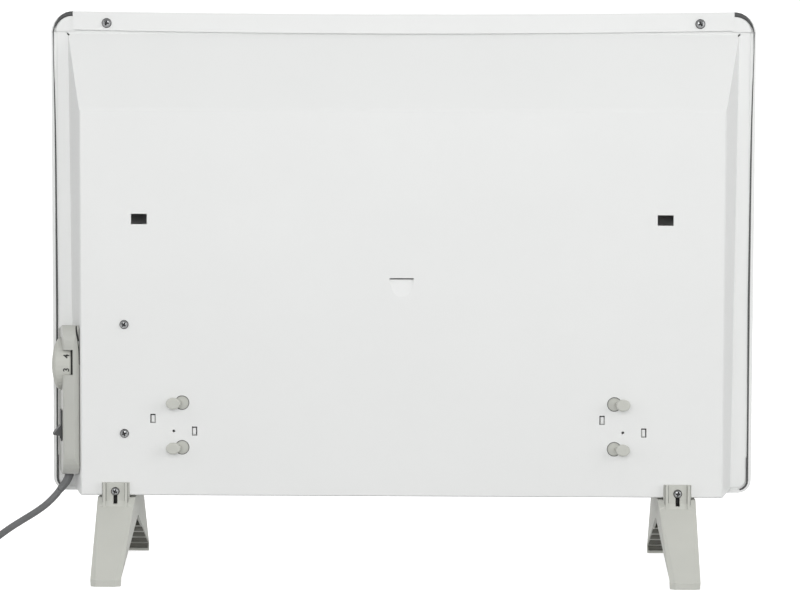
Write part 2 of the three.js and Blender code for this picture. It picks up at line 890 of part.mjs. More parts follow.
// A shallow channel that follows the dip of the top edge, with a flat plate at each end.
function topRail() {
  const steps = 10;
  const rings = Array.from({ length: steps + 1 }, (_, i) => {
    const x = -railHalf + (railLength * i) / steps;
    const top = panelTop - railTopMargin - dipAt(x, topEdgeDip, railHalf);
    const bottom = panelTop - railTopMargin - railHeight - dipAt(x, railBottomDip, railHalf);
    const lip = top + railTopMargin - rimSheet - seatGap;
    const web = railRearY - railSheet;
    const section = [
      [web, top],
      [web, lip],
      [railFrontY, lip],
      [railFrontY, lip - railSheet],
      [web, lip - railSheet],
      [web, bottom + railSheet],
      [railFrontY, bottom + railSheet],
      [railFrontY, bottom],
      [railRearY, bottom],
      [railRearY, top],
    ];
    return section.reverse().map(([y, z]) => new THREE.Vector3(x, y, z));
  });
  const radius = topCornerRadius - capThickTop - seatGap;
  const x = halfWidth - topCornerRadius;
  const z = panelTop - topCornerRadius;
  const low = z + radius - railEndPlateHeight;
  const start = THREE.MathUtils.radToDeg(Math.asin((low - z) / radius));
  const plate = [point(railHalf - 2, low), ...arc(x, z, radius, start, 90, cornerSteps), point(railHalf - 2, z + radius)];
  const plateRearY = railFrontY + railEndPlateSheet;
  const screwTools = holesAlongY(
    railScrewAt.map((sx) => [sx, railScrewZ]),
    screwShankRadius + holeGap,
    railFrontY - 1,
    railRearY + 1,
  );
  return cut(
    union([
      solid(loft(rings)),
      alongY(plate, railFrontY, plateRearY),
      alongY(mirrored(plate), railFrontY, plateRearY),
    ]),
    screwTools,
  );
}

place("top_rail", topRail(), whitePaint);
place("corner_cap_right", alongY(capOutline(0), capFrontY, capRearY), darkPlastic);
place("corner_cap_left", alongY(mirrored(capOutline(0)), capFrontY, capRearY), darkPlastic);

// ---------------------------------------------------------------- screws

// A pan head with its shank, pointing in from the back. The head's underside is at y = 0.
function screw(headRadius) {
  const profile = [
    [0, -screwLength],
    [screwShankRadius, -screwLength],
    [screwShankRadius, 0],
    [headRadius, 0],
    [headRadius, screwHeadHeight * 0.35],
    [headRadius * 0.8, screwHeadHeight * 0.8],
    [headRadius * 0.4, screwHeadHeight],
    [0, screwHeadHeight],
  ];
  return turned(profile, 12, yAxis);
}

const railScrew = screw(railScrewHeadRadius);
const housingScrew = screw(housingScrewHeadRadius);
const footScrew = screw(footScrewHeadRadius);
const tabFaceY = backY + seatGap + tabThickness;
place("rail_screw_right", railScrew, zinc, [railScrewX, railRearY + seatGap, railScrewZ]);
place("rail_screw_left", railScrew, zinc, [-railScrewX, railRearY + seatGap, railScrewZ]);
place("housing_screw_lower", housingScrew, zinc, [housingScrewX, backY + seatGap, housingScrewZs[0]]);
place("housing_screw_upper", housingScrew, zinc, [housingScrewX, backY + seatGap, housingScrewZs[1]]);
place("foot_screw_right", footScrew, zinc, [footXs.foot_right, tabFaceY + seatGap, footScrewZ]);
place("foot_screw_left", footScrew, zinc, [footXs.foot_left, tabFaceY + seatGap, footScrewZ]);

// ---------------------------------------------------------------- heating element

const armRightX = elementRight - armInset;
const armLeftX = elementLeft + armInset;
const armFrontY = elementY - elementDepth / 2 - seatGap;

// Sheet bracket: a plate on the inside of the cover, two tabs through its slots, and an arm with
// the hole that an insulator of the element passes through. side is +1 at the +X end.
function elementBracket(holeX, armX, side) {
  const half = bracketWidth / 2;
  const plateY = innerSeatY - bracketSheet;
  const plate = block(
    holeX - half,
    holeX + half,
    plateY,
    innerSeatY,
    bracketHoleZ + bracketRise - bracketHeight / 2,
    bracketHoleZ + bracketRise + bracketHeight / 2,
  );
  const tabs = tabPlaces(holeX).map(([x, z]) =>
    block(x - 1.2, x + 1.2, innerSeatY - 0.5, backY - seatGap, z - 2.8, z + 2.8),
  );
  const armEdge = armX + side * bracketSheet;
  const [x0, x1] = [Math.min(armX, armEdge), Math.max(armX, armEdge)];
  const arm = block(x0, x1, armFrontY, innerSeatY, elementZ - armHeight / 2, elementZ + armHeight / 2);
  const passage = rod(insulatorRadius + holeGap, 16, xAxis, [x0 - 1, elementY, elementZ], bracketSheet + 2);
  const [fixing] = holesAlongY([[holeX, bracketHoleZ]], bracketHoleRadius, plateY - 1, innerSeatY + 1, 12);
  return cut(union([plate, ...tabs, arm]), [passage, fixing]);
}

// Extruded aluminium body: a core with fins to the front and to the back.
function elementBody() {
  const pitch = (elementHeight - finThickness) / (finCount - 1);
  const core = elementCore / 2;
  const tip = elementDepth / 2;
  const side = (sign) =>
    Array.from({ length: finCount }, (_, i) => {
      const z = elementZ + sign * (pitch * i - (elementHeight - finThickness) / 2);
      const half = (sign * finThickness) / 2;
      return [
        point(elementY + sign * core, z - half),
        point(elementY + sign * tip, z - half * 0.7),
        point(elementY + sign * tip, z + half * 0.7),
        point(elementY + sign * core, z + half),
      ];
    }).flat();
  return alongX([...side(1), ...side(-1)], armLeftX + seatGap, armRightX - seatGap);
}

// Ceramic bush on an end of the element, with a bore for its terminal.
function insulator(direction, x) {
  const bore = terminalRadius + holeGap;
  const neck = bracketSheet + 2 * seatGap + 0.2;
  const profile = [
    [bore, 0],
    [insulatorRadius, 0],
    [insulatorRadius, neck],
    [insulatorFlangeRadius, neck],
    [insulatorFlangeRadius, neck + 3],
    [insulatorRadius, neck + 4.5],
    [insulatorRadius - 1, insulatorLength],
    [bore, insulatorLength],
    [bore, 0],
  ];
  return turned(profile, 16, direction, [x, elementY, elementZ]);
}

// Terminal: a pin in the insulator's bore and a flat blade for the push-on connector.
function terminal(direction, x) {
  const sign = direction.x;
  const pinEnd = x + sign * (insulatorLength + 3);
  const pin = rod(terminalRadius, 10, direction, [x + sign, elementY, elementZ], insulatorLength + 2);
  const bladeEnd = pinEnd + sign * spadeLength;
  const thick = spadeThickness / 2;
  const blade = block(
    Math.min(pinEnd - sign, bladeEnd),
    Math.max(pinEnd - sign, bladeEnd),
    elementY - thick,
    elementY + thick,
    elementZ - spadeWidth / 2,
    elementZ + spadeWidth / 2,
  );
  return pin.add(blade);
}

// Bent sheet in front of the element that keeps the front panel cool and turns the air forward.
function heatShield() {
  const y = armFrontY - seatGap;
  const low = elementZ - armHeight / 2 - 2;
  const high = low + shieldHeight;
  const outline = [
    point(y, low),
    point(y, high),
    point(y - shieldLip, high + 2.5 * shieldLip),
    point(y - shieldLip - shieldSheet, high + 2.5 * shieldLip),
    point(y - shieldSheet, high),
    point(y - shieldSheet, low),
  ];
  return alongX(outline.reverse(), armLeftX - shieldOverhang, armRightX + shieldOverhang);
}

const minusX = xAxis.clone().negate();
place("element_bracket_right", elementBracket(elementRight, armRightX, 1), whitePaint);
place("element_bracket_left", elementBracket(elementLeft, armLeftX, -1), whitePaint);
place("heating_element", elementBody(), aluminium);
place("insulator_right", insulator(xAxis, armRightX), ceramic);
place("insulator_left", insulator(minusX, armLeftX), ceramic);
place("element_terminal_right", terminal(xAxis, armRightX), nickel);
place("element_terminal_left", terminal(minusX, armLeftX), nickel);
place("heat_shield", heatShield(), steel);

// ---------------------------------------------------------------- overheat cut-out

const cutoutRearY = innerSeatY - clipSheet - seatGap;
const cutoutFrontY = cutoutRearY - cutoutDepth;
const cutoutSpadeX = 4.2;

function cutoutClip() {
  const plateY = innerSeatY - clipSheet;
  const [half, tall] = [clipWidth / 2, clipHeight / 2];
  const plate = block(-half, half, plateY, innerSeatY, cutoutZ - tall, cutoutZ + tall);
  const ears = [1, -1].map((sign) => {
    const inner = sign * (cutoutRadius + seatGap);
    const outer = inner + sign * clipSheet;
    return block(
      Math.min(inner, outer),
      Math.max(inner, outer),
      plateY - cutoutDepth * 0.7,
      innerSeatY,
      cutoutZ - 5,
      cutoutZ + 5,
    );
  });
  return union([plate, ...ears]);
}

function thermalCutout() {
  const disc = solid(
    turned(
      [
        [0, 0],
        [cutoutRadius, 0],
        [cutoutRadius, cutoutDepth - 3],
        [cutoutRadius - 1.5, cutoutDepth - 2],
        [cutoutRadius - 1.5, cutoutDepth],
        [0, cutoutDepth],
      ],
      20,
      yAxis.clone().negate(),
      [0, cutoutRearY, cutoutZ],
    ),
  );
  const spades = [cutoutSpadeX, -cutoutSpadeX].map((x) => {
    const bottom = cutoutZ - cutoutRadius - spadeLength / 2;
    return block(x - 1.6, x + 1.6, cutoutFrontY + 3, cutoutFrontY + 3.8, bottom, cutoutZ);
  });
  return union([disc, ...spades]);
}

place("cutout_clip", cutoutClip(), steel);
place("thermal_cutout", thermalCutout(), ceramic);

// ---------------------------------------------------------------- control housing

const rearOuter = point(halfWidth - housingRearOuter, housingRearY);
const flangeOuter = point(halfWidth - housingFlangeOuter, flangeY + seatGap);
const switchAngle = Math.atan2(flangeOuter.x - rearOuter.x, rearOuter.y - flangeOuter.y);
const sideRun = (rearOuter.y - switchY) / (rearOuter.y - flangeOuter.y);
const switchX = rearOuter.x + (flangeOuter.x - rearOuter.x) * sideRun;

// A quarter of an ellipse, from some angle on, about a middle.
function quarter(y, z, across, tall, from) {
  return arc(0, 0, 1, from, from + 90, 6).map((p) => point(y + across * p.x, z + tall * p.y));
}

// The housing's outline in (Y, Z): the rear face curves forward into the top and into the bottom,
// and the top falls towards the flange.
function housingEnds(inset) {
  const front = flangeY + seatGap - (inset ? 1 : 0);
  const lowY = housingRearY - housingBottomCurveDepth;
  const lowZ = housingBottom + housingBottomCurve;
  const highY = housingRearY - housingTopCurveDepth;
  const highZ = housingTop - housingTopCurve;
  return [
    point(front, housingBottom + inset),
    ...quarter(lowY, lowZ, housingBottomCurveDepth - inset, housingBottomCurve - inset, -90),
    ...quarter(highY, highZ, housingTopCurveDepth - inset, housingTopCurve - inset, 0),
    point(front, housingTop - housingTopFall - inset),
  ];
}

function controlHousing() {
  const innerRearX = halfWidth - housingRearInner;
  const chamferX = panSideAt(backY - housingChamfer, housingTop) + seatGap + 0.2;
  const section = [
    point(chamferX, backY - housingChamfer),
    point(panSideAt(flangeY, housingTop) + seatGap + 0.2, flangeY + seatGap),
    flangeOuter,
    rearOuter,
    point(innerRearX, housingRearY),
  ];
  const hollow = [
    point(innerRearX - 12, backY - housingChamfer - 3),
    point(innerRearX - 12, flangeY - 1),
    point(flangeOuter.x - housingWall + 0.3, flangeY - 1),
    point(rearOuter.x - housingWall, housingRearY - housingWall),
    point(innerRearX + 1, housingRearY - housingWall),
    point(chamferX + 1, backY - housingChamfer - 1.2),
  ];
  const outer = alongZ(rounded(section, [0, 0, 0, housingCornerRadius, 1.5]), housingBottom, housingTop).intersect(
    alongX(housingEnds(0), innerRearX - 20, halfWidth),
  );
  const room = alongZ(hollow, housingBottom, housingTop).intersect(
    alongX(housingEnds(housingWall), innerRearX - 20, halfWidth),
  );
  const cutter = switchPlaced(
    block(
      -8,
      4,
      -switchOpeningWidth / 2 - switchWall - seatGap,
      switchOpeningWidth / 2 + switchWall + seatGap,
      -switchOpeningLength / 2 - switchWall - seatGap,
      switchOpeningLength / 2 + switchWall + seatGap,
    ),
  );
  const tools = [
    room,
    rod(knobRadius + turnGap, 40, xAxis, [windowInnerX, knobY, knobZ], 40),
    block(
      windowInnerX,
      halfWidth,
      housingRearY - housingWall - 4,
      housingRearY + 1,
      windowZ - windowHeight / 2,
      windowZ + windowHeight / 2,
    ),
    rod(reliefRadiusTop + holeGap, 16, zAxis, [...cordExit, housingBottom - 1], housingWall + 2),
    cutter,
  ];
  return cut(outer, tools);
}

// Moves a body from the switch's own frame, with X square to the housing's side, to the part's.
function switchPlaced(body) {
  const turn = new THREE.Matrix4().makeRotationZ(switchAngle).setPosition(switchX, switchY, switchZ);
  return solid(geometryOf(body).applyMatrix4(turn));
}

place("control_housing", controlHousing(), greyPlastic);

// ---------------------------------------------------------------- chassis and thermostat

function controlChassis() {
  const plate = block(
    chassisWallX + chassisSheet - chassisLength,
    chassisWallX + chassisSheet,
    innerSeatY - chassisSheet,
    innerSeatY,
    chassisBottom,
    chassisTop,
  );
  const wall = block(
    chassisWallX,
    chassisWallX + chassisSheet,
    chassisWallFront,
    innerSeatY,
    chassisWallBottom,
    chassisWallTop,
  );
  const tools = [
    rod(bushingRadius + holeGap, 16, xAxis, [chassisWallX - 1, knobY, knobZ], chassisSheet + 2),
    ...holesAlongY(
      housingScrewZs.map((z) => [housingScrewX, z]),
      screwShankRadius + holeGap,
      innerSeatY - chassisSheet - 1,
      innerSeatY + 1,
    ),
  ];
  return cut(plate.add(wall), tools);
}

const thermostatFaceX = chassisWallX - seatGap;
const thermostatSpades = [thermostatFaceX - 8, thermostatFaceX - 18];
const bushingBottomX = thermostatFaceX - 10;

function thermostat() {
  const half = thermostatWidth / 2;
  const body = block(
    thermostatFaceX - thermostatLength,
    thermostatFaceX,
    knobY - half,
    knobY + half,
    knobZ - half,
    knobZ + half,
  );
  const bushing = rod(bushingRadius, 16, xAxis, [thermostatFaceX - 1, knobY, knobZ], bushingLength + 1);
  const spades = thermostatSpades.map((x) =>
    block(
      x - spadeWidth / 2,
      x + spadeWidth / 2,
      knobY - spadeThickness / 2,
      knobY + spadeThickness / 2,
      knobZ - half - spadeLength,
      knobZ - half + 1,
    ),
  );
  const bore = rod(spindleRadius + holeGap, 16, xAxis, [bushingBottomX, knobY, knobZ], 30);
  return cut(union([body, bushing, ...spades]), [bore]);
}

function thermostatNut() {
  const x = chassisWallX + chassisSheet + seatGap;
  const bore = circle(knobY, knobZ, bushingRadius + holeGap, 16);
  return alongX(circle(knobY, knobZ, nutRadius, 6), x, x + nutThickness, [bore]);
}

// The knob: a rim that shows in the housing's window, a shallow dome, and a hub on the spindle.
function knob() {
  const rimEnd = knobRimWidth;
  const dome = 5;
  const domed = Array.from({ length: dome }, (_, i) => {
    const t = (i + 1) / dome;
    return [knobRadius * Math.cos((t * Math.PI) / 2), rimEnd + knobDomeHeight * Math.sin((t * Math.PI) / 2)];
  });
  const bore = spindleRadius + holeGap;
  const profile = [
    [0, spindleGrip + seatGap],
    [bore, spindleGrip + seatGap],
    [bore, 0],
    [knobHubRadius, 0],
    [knobHubRadius, knobRecess],
    [knobRadius - knobWall, knobRecess],
    [knobRadius - knobWall, 0],
    [knobRadius - knobEdgeChamfer, 0],
    [knobRadius, knobEdgeChamfer],
    [knobRadius, rimEnd],
    ...domed.slice(0, -1),
    [0, rimEnd + knobDomeHeight],
  ];
  return turned(profile, 36, xAxis);
}

place("control_chassis", controlChassis(), steel);
place("thermostat", thermostat(), blackPlastic);
place("thermostat_nut", thermostatNut(), zinc);
const spindleStart = bushingBottomX + seatGap;
const spindleLength = knobInnerX + spindleGrip - spindleStart;
place("thermostat_spindle", rod(spindleRadius, 16, xAxis, [0, 0, 0], spindleLength), steel, [
  spindleStart,
  knobY,
  knobZ,
]);
place("thermostat_knob", knob(), greyPlastic, [knobInnerX, knobY, knobZ]);

// ---------------------------------------------------------------- rocker switch

const switchGroup = new THREE.Group();
switchGroup.position.set(switchX, switchY, switchZ);
switchGroup.rotation.z = switchAngle;
heater.add(switchGroup);

const switchSpadeZ = 8;

function switchBody() {
  const [wide, long] = [switchOpeningWidth / 2, switchOpeningLength / 2];
  const box = block(
    -switchDepth,
    seatGap + 0.5,
    -wide - switchWall,
    wide + switchWall,
    -long - switchWall,
    long + switchWall,
  );
  const bezel = block(
    seatGap,
    seatGap + switchBezelHeight,
    -wide - switchBezel,
    wide + switchBezel,
    -long - switchBezel,
    long + switchBezel,
  );
  const pocket = block(-switchPocket, seatGap + switchBezelHeight + 1, -wide, wide, -long, long);
  const spades = [switchSpadeZ, -switchSpadeZ].map((z) =>
    block(-switchDepth - 4, -switchDepth + 1, -0.4, 0.4, z - spadeWidth / 2, z + spadeWidth / 2),
  );
  return union([box, bezel, ...spades]).subtract(pocket);
}

// Two wings in a shallow V. At rest the upper wing is pressed flush and the lower one stands out.
function rocker() {
  const rise = rockerRise + rockerWing * Math.sin(radians(rockerTilt));
  const reach = rockerWing * Math.cos(radians(rockerTilt));
  const outline = [
    point(rockerRise, 0),
    point(rise, reach),
    point(-rockerSkirtDepth, rockerSkirt),
    point(-rockerSkirtDepth, -rockerSkirt),
    point(rise, -reach),
  ];
  const half = rockerWidth / 2;
  return alongY(rounded(outline, [3, 0.6, 0.8, 0.8, 0.6]), -half, half);
}

place("switch_body", switchBody(), blackPlastic, [0, 0, 0], switchGroup);
place("power_rocker", rocker(), darkPlastic, [0, 0, 0], switchGroup).rotation.y = -radians(rockerTilt);

// ---------------------------------------------------------------- cord cleats

// A disc through the cover with a collar inside, and a stem with a head that overhangs outwards.
function cleat() {
  const discTop = -cleatRecess;
  const collarTop = -coverSheet - seatGap;
  const disc = solid(
    turned(
      [
        [0, collarTop - cleatCollarDepth],
        [cleatRadius + cleatCollar, collarTop - cleatCollarDepth],
        [cleatRadius + cleatCollar, collarTop],
        [cleatRadius, collarTop],
        [cleatRadius, discTop],
        [0, discTop],
      ],
      20,
      yAxis,
    ),
  );
  const stem = rod(cleatStemRadius, 12, yAxis, [cleatStemOffset, discTop - 1, 0], cleatGap + cleatRecess + 2);
  const bevel = 1.2;
  const shape = new THREE.Shape(
    circle(0, 0, 1, 24).map((p) =>
      point(p.x * (cleatHeadLength / 2 - bevel), p.y * (cleatHeadWidth / 2 - bevel)),
    ),
  );
  const pad = new THREE.ExtrudeGeometry(shape, {
    depth: cleatHeadThickness - 2 * bevel,
    bevelThickness: bevel,
    bevelSize: bevel,
    bevelSegments: 2,
  });
  pad.applyMatrix4(
    basis(xAxis, zAxis, yAxis.clone().negate(), [cleatHeadOffset, cleatGap + cleatHeadThickness - bevel, 0]),
  );
  return union([disc, stem, solid(pad)]);
}

const cleatShape = geometryOf(cleat());
["right", "left"].forEach((side, i) => {
  ["upper", "lower"].forEach((level, k) => {
    const mesh = place(`cord_cleat_${side}_${level}`, cleatShape, greyPlastic, [cleatXs[i], backY, cleatZs[k]]);
    mesh.rotation.y = i * Math.PI;
  });
});

// ---------------------------------------------------------------- feet

const footTopZ = panelBottom - seatGap;
const toeY = footDepth / 2;

// Both legs in (Y, Z): a shoulder under the casing, sloping faces, and an arch between them.
function footOutline() {
  const half = [
    point(toeY - toeThickness, 0),
    point(toeY, 0),
    point(toeY, footToeHeight),
    point(footFaceTopY, footFaceTopZ),
    point(footFaceTopY - 0.8, footTopZ - 2.2),
    point(footShoulder, footTopZ),
  ];
  const innerToe = point(toeY - toeThickness, archFootZ);
  const innerTop = point(archHalfWidth, archApexZ - 2.5);
  const crown = [point(archHalfWidth * 0.5, archApexZ - 0.6), point(-archHalfWidth * 0.5, archApexZ - 0.6)];
  const flip = (points) => points.map((p) => point(-p.x, p.y)).reverse();
  return [...half, ...flip(half), ...flip([innerTop, innerToe]), ...crown.reverse(), innerTop, innerToe];
}

// Pockets between the ribs of a leg, open towards the arch.
function legPockets(sign) {
  const faceY = (z) => {
    const rise = Math.max(0, z - footToeHeight) / (footFaceTopZ - footToeHeight);
    return toeY - (toeY - footFaceTopY) * rise - footWall * 1.4;
  };
  const levels = [footSole - footRibThickness / 2, ...footRibZs, archApexZ - 3];
  return levels.slice(0, -1).map((low, i) => {
    const z0 = low + footRibThickness / 2;
    const z1 = levels[i + 1] - footRibThickness / 2;
    const half = footBottomHalfWidth - footWall + ((footTopHalfWidth - footBottomHalfWidth) * z0) / footTopZ;
    const inner = archHalfWidth * 0.6;
    const outline = [point(inner, z0), point(faceY(z0), z0), point(faceY(z1), z1), point(inner, z1)];
    const turnedOutline = sign > 0 ? outline : outline.map((p) => point(-p.x, p.y)).reverse();
    return alongX(turnedOutline, -half, half);
  });
}

// The clamp that the foot's screw holds against the back cover: a plate between two ribs.
function footTab() {
  const y0 = backY + seatGap;
  const face = y0 + tabThickness;
  const [inner, outer] = [tabRibX - tabRibWidth / 2, tabRibX + tabRibWidth / 2];
  const side = [
    point(tabHalfWidth, y0),
    point(tabHalfWidth - 0.8, y0 + tabThickness * 0.6),
    point(outer, face + 0.2),
    point(outer - 0.2, face + tabRibHeight),
    point(inner + 0.2, face + tabRibHeight),
    point(inner, face),
  ];
  return alongZ([...side, ...side.map((p) => point(-p.x, p.y)).reverse()], footFaceTopZ - 4, tabTopZ);
}

function foot() {
  const front = [
    point(-footBottomHalfWidth, 0),
    point(footBottomHalfWidth, 0),
    point(footTopHalfWidth, footTopZ),
    point(-footTopHalfWidth, footTopZ),
  ];
  const legs = alongX(footOutline(), -footTopHalfWidth - 1, footTopHalfWidth + 1).intersect(
    alongY(front, -toeY - 1, toeY + 1),
  );
  const edges = [1, -1].flatMap((x) =>
    [1, -1].flatMap((y) => {
      const high = new THREE.Vector3(x * (footTopHalfWidth - footEdgeTop), y * footFaceTopY, footFaceTopZ);
      const low = new THREE.Vector3(x * (footBottomHalfWidth - footEdgeBottom), y * toeY, footToeHeight);
      const flank = new THREE.Vector3(x * footBottomHalfWidth, y * (toeY - footEdgeDepth), footToeHeight);
      const normal = new THREE.Vector3()
        .crossVectors(low.clone().sub(high), flank.clone().sub(high))
        .multiplyScalar(-x * y);
      const upright = new THREE.Vector3(x * footEdgeDepth, y * footEdgeBottom, 0);
      return [beyond(high, normal), beyond(low, upright)];
    }),
  );
  const slotTop = footScrewZ + screwShankRadius + holeGap;
  const half = footSlotWidth / 2;
  const slot = block(-half, half, backY - 1, backY + 12, footSlotBottom, slotTop);
  const coverRoom = block(-footTopHalfWidth, footTopHalfWidth, -toeY, backY + seatGap, footTopZ, tabTopZ + 1);
  return cut(legs, [...edges, ...legPockets(1), ...legPockets(-1)])
    .add(footTab())
    .subtract(slot)
    .subtract(coverRoom);
}

const footShape = geometryOf(foot());
for (const [name, x] of Object.entries(footXs)) place(name, footShape, greyPlastic, [x, 0, 0]);

// ---------------------------------------------------------------- mains lead

// A route whose X counts from the panel's side, in the part's own X.
function fromSide(route) {
  return route.map(([x, y, z]) => [halfWidth + x, y, z]);
}

// A flange inside the housing, a neck through its bottom, then a taper along the lead.
function strainRelief() {
  const path = new THREE.CatmullRomCurve3(fromSide(reliefRoute).map(vector), false, "centripetal").getSpacedPoints(8);
  const radii = path.map((_, i) => reliefRadiusTop + ((reliefRadiusEnd - reliefRadiusTop) * i) / 8);
  const flangeZ = housingBottom + housingWall + seatGap;
  const [x0, x1, y0, y1] = reliefFlange;
  const outline = rounded(rectangle(x0, x1, y0, y1), [1.5, 1.5, 1.5, 1.5]);
  const flange = prism(outline, reliefFlangeThickness).rotateZ(switchAngle).translate(...cordExit, flangeZ);
  return solid(sweep(path, radii, 12, yAxis)).add(solid(flange));
}

// The coil: a spiral in on the floor, half a turn to climb, and a spiral out on top of it. Turns
// are counted from the point nearest the front, anticlockwise from above.
const coilTurns = coilLowerTurns + coilClimb + coilUpperTurns;

function coilAt(turn) {
  const widest = coilRadius + (coilPitch * coilLowerTurns) / 2;
  const narrowest = widest - coilPitch * coilLowerTurns;
  const climb = THREE.MathUtils.clamp((turn - coilLowerTurns) / coilClimb, 0, 1);
  let radius = widest - coilPitch * turn;
  if (turn > coilLowerTurns) radius = narrowest - coilPitch * coilClimb * climb * (1 - climb);
  if (turn > coilLowerTurns + coilClimb) radius = narrowest + coilPitch * (turn - coilLowerTurns - coilClimb);
  const angle = -Math.PI / 2 + 2 * Math.PI * turn;
  const height = cordLift + cordRadius + coilPitch * THREE.MathUtils.smoothstep(climb, 0, 1);
  return new THREE.Vector3(
    coilCentre[0] + radius * Math.cos(angle),
    coilCentre[1] + radius * Math.sin(angle),
    height,
  );
}

function coilPath() {
  const count = Math.round(coilTurns * coilSteps);
  const loops = Array.from({ length: count + 1 }, (_, i) => coilAt((coilTurns * i) / count));
  const leadIn = loops[0].clone().add(new THREE.Vector3(-cordDiameter, 0, 0));
  const leadOut = loops.at(-1).clone().add(new THREE.Vector3(0, coilLeadOut, 0));
  return [leadIn, ...loops, leadOut];
}

// The least clear distance between stretches of a tube that aren't neighbours along it.
function leastGap(path, diameter) {
  const apart = 6;
  let least = Infinity;
  path.forEach((p, i) => {
    for (let j = i + apart; j < path.length; j += 1) least = Math.min(least, p.distanceTo(path[j]));
  });
  return least - diameter;
}

function pathLength(path) {
  return path.slice(1).reduce((sum, p, i) => sum + p.distanceTo(path[i]), 0);
}

// The strap round the bundle, square to the coil at its own place.
function coilTie() {
  const reach = coilPitch + cordRadius + tieClearance;
  const low = cordLift - seatGap;
  const high = cordLift + cordDiameter + coilPitch + seatGap;
  const outer = rectangle(-reach - tieThickness, reach + tieThickness, low - tieThickness, high + tieThickness);
  const inner = rectangle(-reach, reach, low, high);
  const radii = [2.5, 2.5, 2.5, 2.5];
  return alongY(rounded(outer, radii), -tieWidth / 2, tieWidth / 2, [rounded(inner, radii.map((r) => r - 1))]);
}

const coil = coilPath();
const coilEnd = coil.at(-1);
const cordTube = tube(fromSide(cordRoute), cordRadius, 8, 12);
place("strain_relief", strainRelief(), cordSheath);
place("power_cord", cordTube, cordSheath);
place("cord_coil", sweep(coil, coil.map(() => cordRadius), 6, zAxis), cordSheath);
const tieAngle = -Math.PI / 2 + 2 * Math.PI * tieTurn;
const tieRadius = coilRadius - tieInset;
place("cord_tie", coilTie(), darkPlastic, [
  coilCentre[0] + tieRadius * Math.cos(tieAngle),
  coilCentre[1] + tieRadius * Math.sin(tieAngle),
  0,
]).rotation.z = tieAngle;

// A flat two-pin plug: an oval body with finger grips, drawn in to a neck round the lead.
function plugBody() {
  const sides = 24;
  const stations = [
    [0, plugNeckRadius, plugNeckRadius],
    [plugNeckLength * 0.75, plugNeckRadius + 1.2, plugNeckRadius + 1.2],
    [plugNeckLength, plugNeckRadius + 3, plugNeckRadius + 2],
    [plugNeckLength + 8, plugHalfWidth * 0.72, plugHalfHeight * 0.82],
    [plugNeckLength + 18, plugHalfWidth * 0.84, plugHalfHeight * 0.9],
    [plugNeckLength + 30, plugHalfWidth, plugHalfHeight],
    [plugNeckLength + plugLength - 2, plugHalfWidth, plugHalfHeight],
    [plugNeckLength + plugLength, plugHalfWidth - 1.2, plugHalfHeight - 1.2],
  ];
  const rings = stations.map(([y, across, tall]) =>
    circle(0, 0, 1, sides).map((p) => new THREE.Vector3(p.x * across, y, p.y * tall)),
  );
  const sockets = [1, -1].map((side) =>
    rod(
      plugPinRadius + holeGap,
      12,
      yAxis,
      [(side * plugPinSpacing) / 2, plugNeckLength + plugLength - 6, 0],
      10,
    ),
  );
  return cut(solid(loft(rings)), sockets);
}

const plugStart = [coilEnd.x, coilEnd.y + seatGap, coilEnd.z];
place("plug_body", plugBody(), cordSheath, plugStart);
const pinShape = turned(
  [
    [0, 0],
    [plugPinRadius, 0],
    [plugPinRadius, plugPinLength + 4],
    [plugPinRadius - 0.8, plugPinLength + 5],
    [0, plugPinLength + 5],
  ],
  12,
  yAxis,
);
const pinY = plugStart[1] + plugNeckLength + plugLength - 5.7;
[["right", 1], ["left", -1]].forEach(([side, sign]) => {
  place(`plug_pin_${side}`, pinShape, nickel, [plugStart[0] + (sign * plugPinSpacing) / 2, pinY, plugStart[2]]);
});

// ---------------------------------------------------------------- internal leads

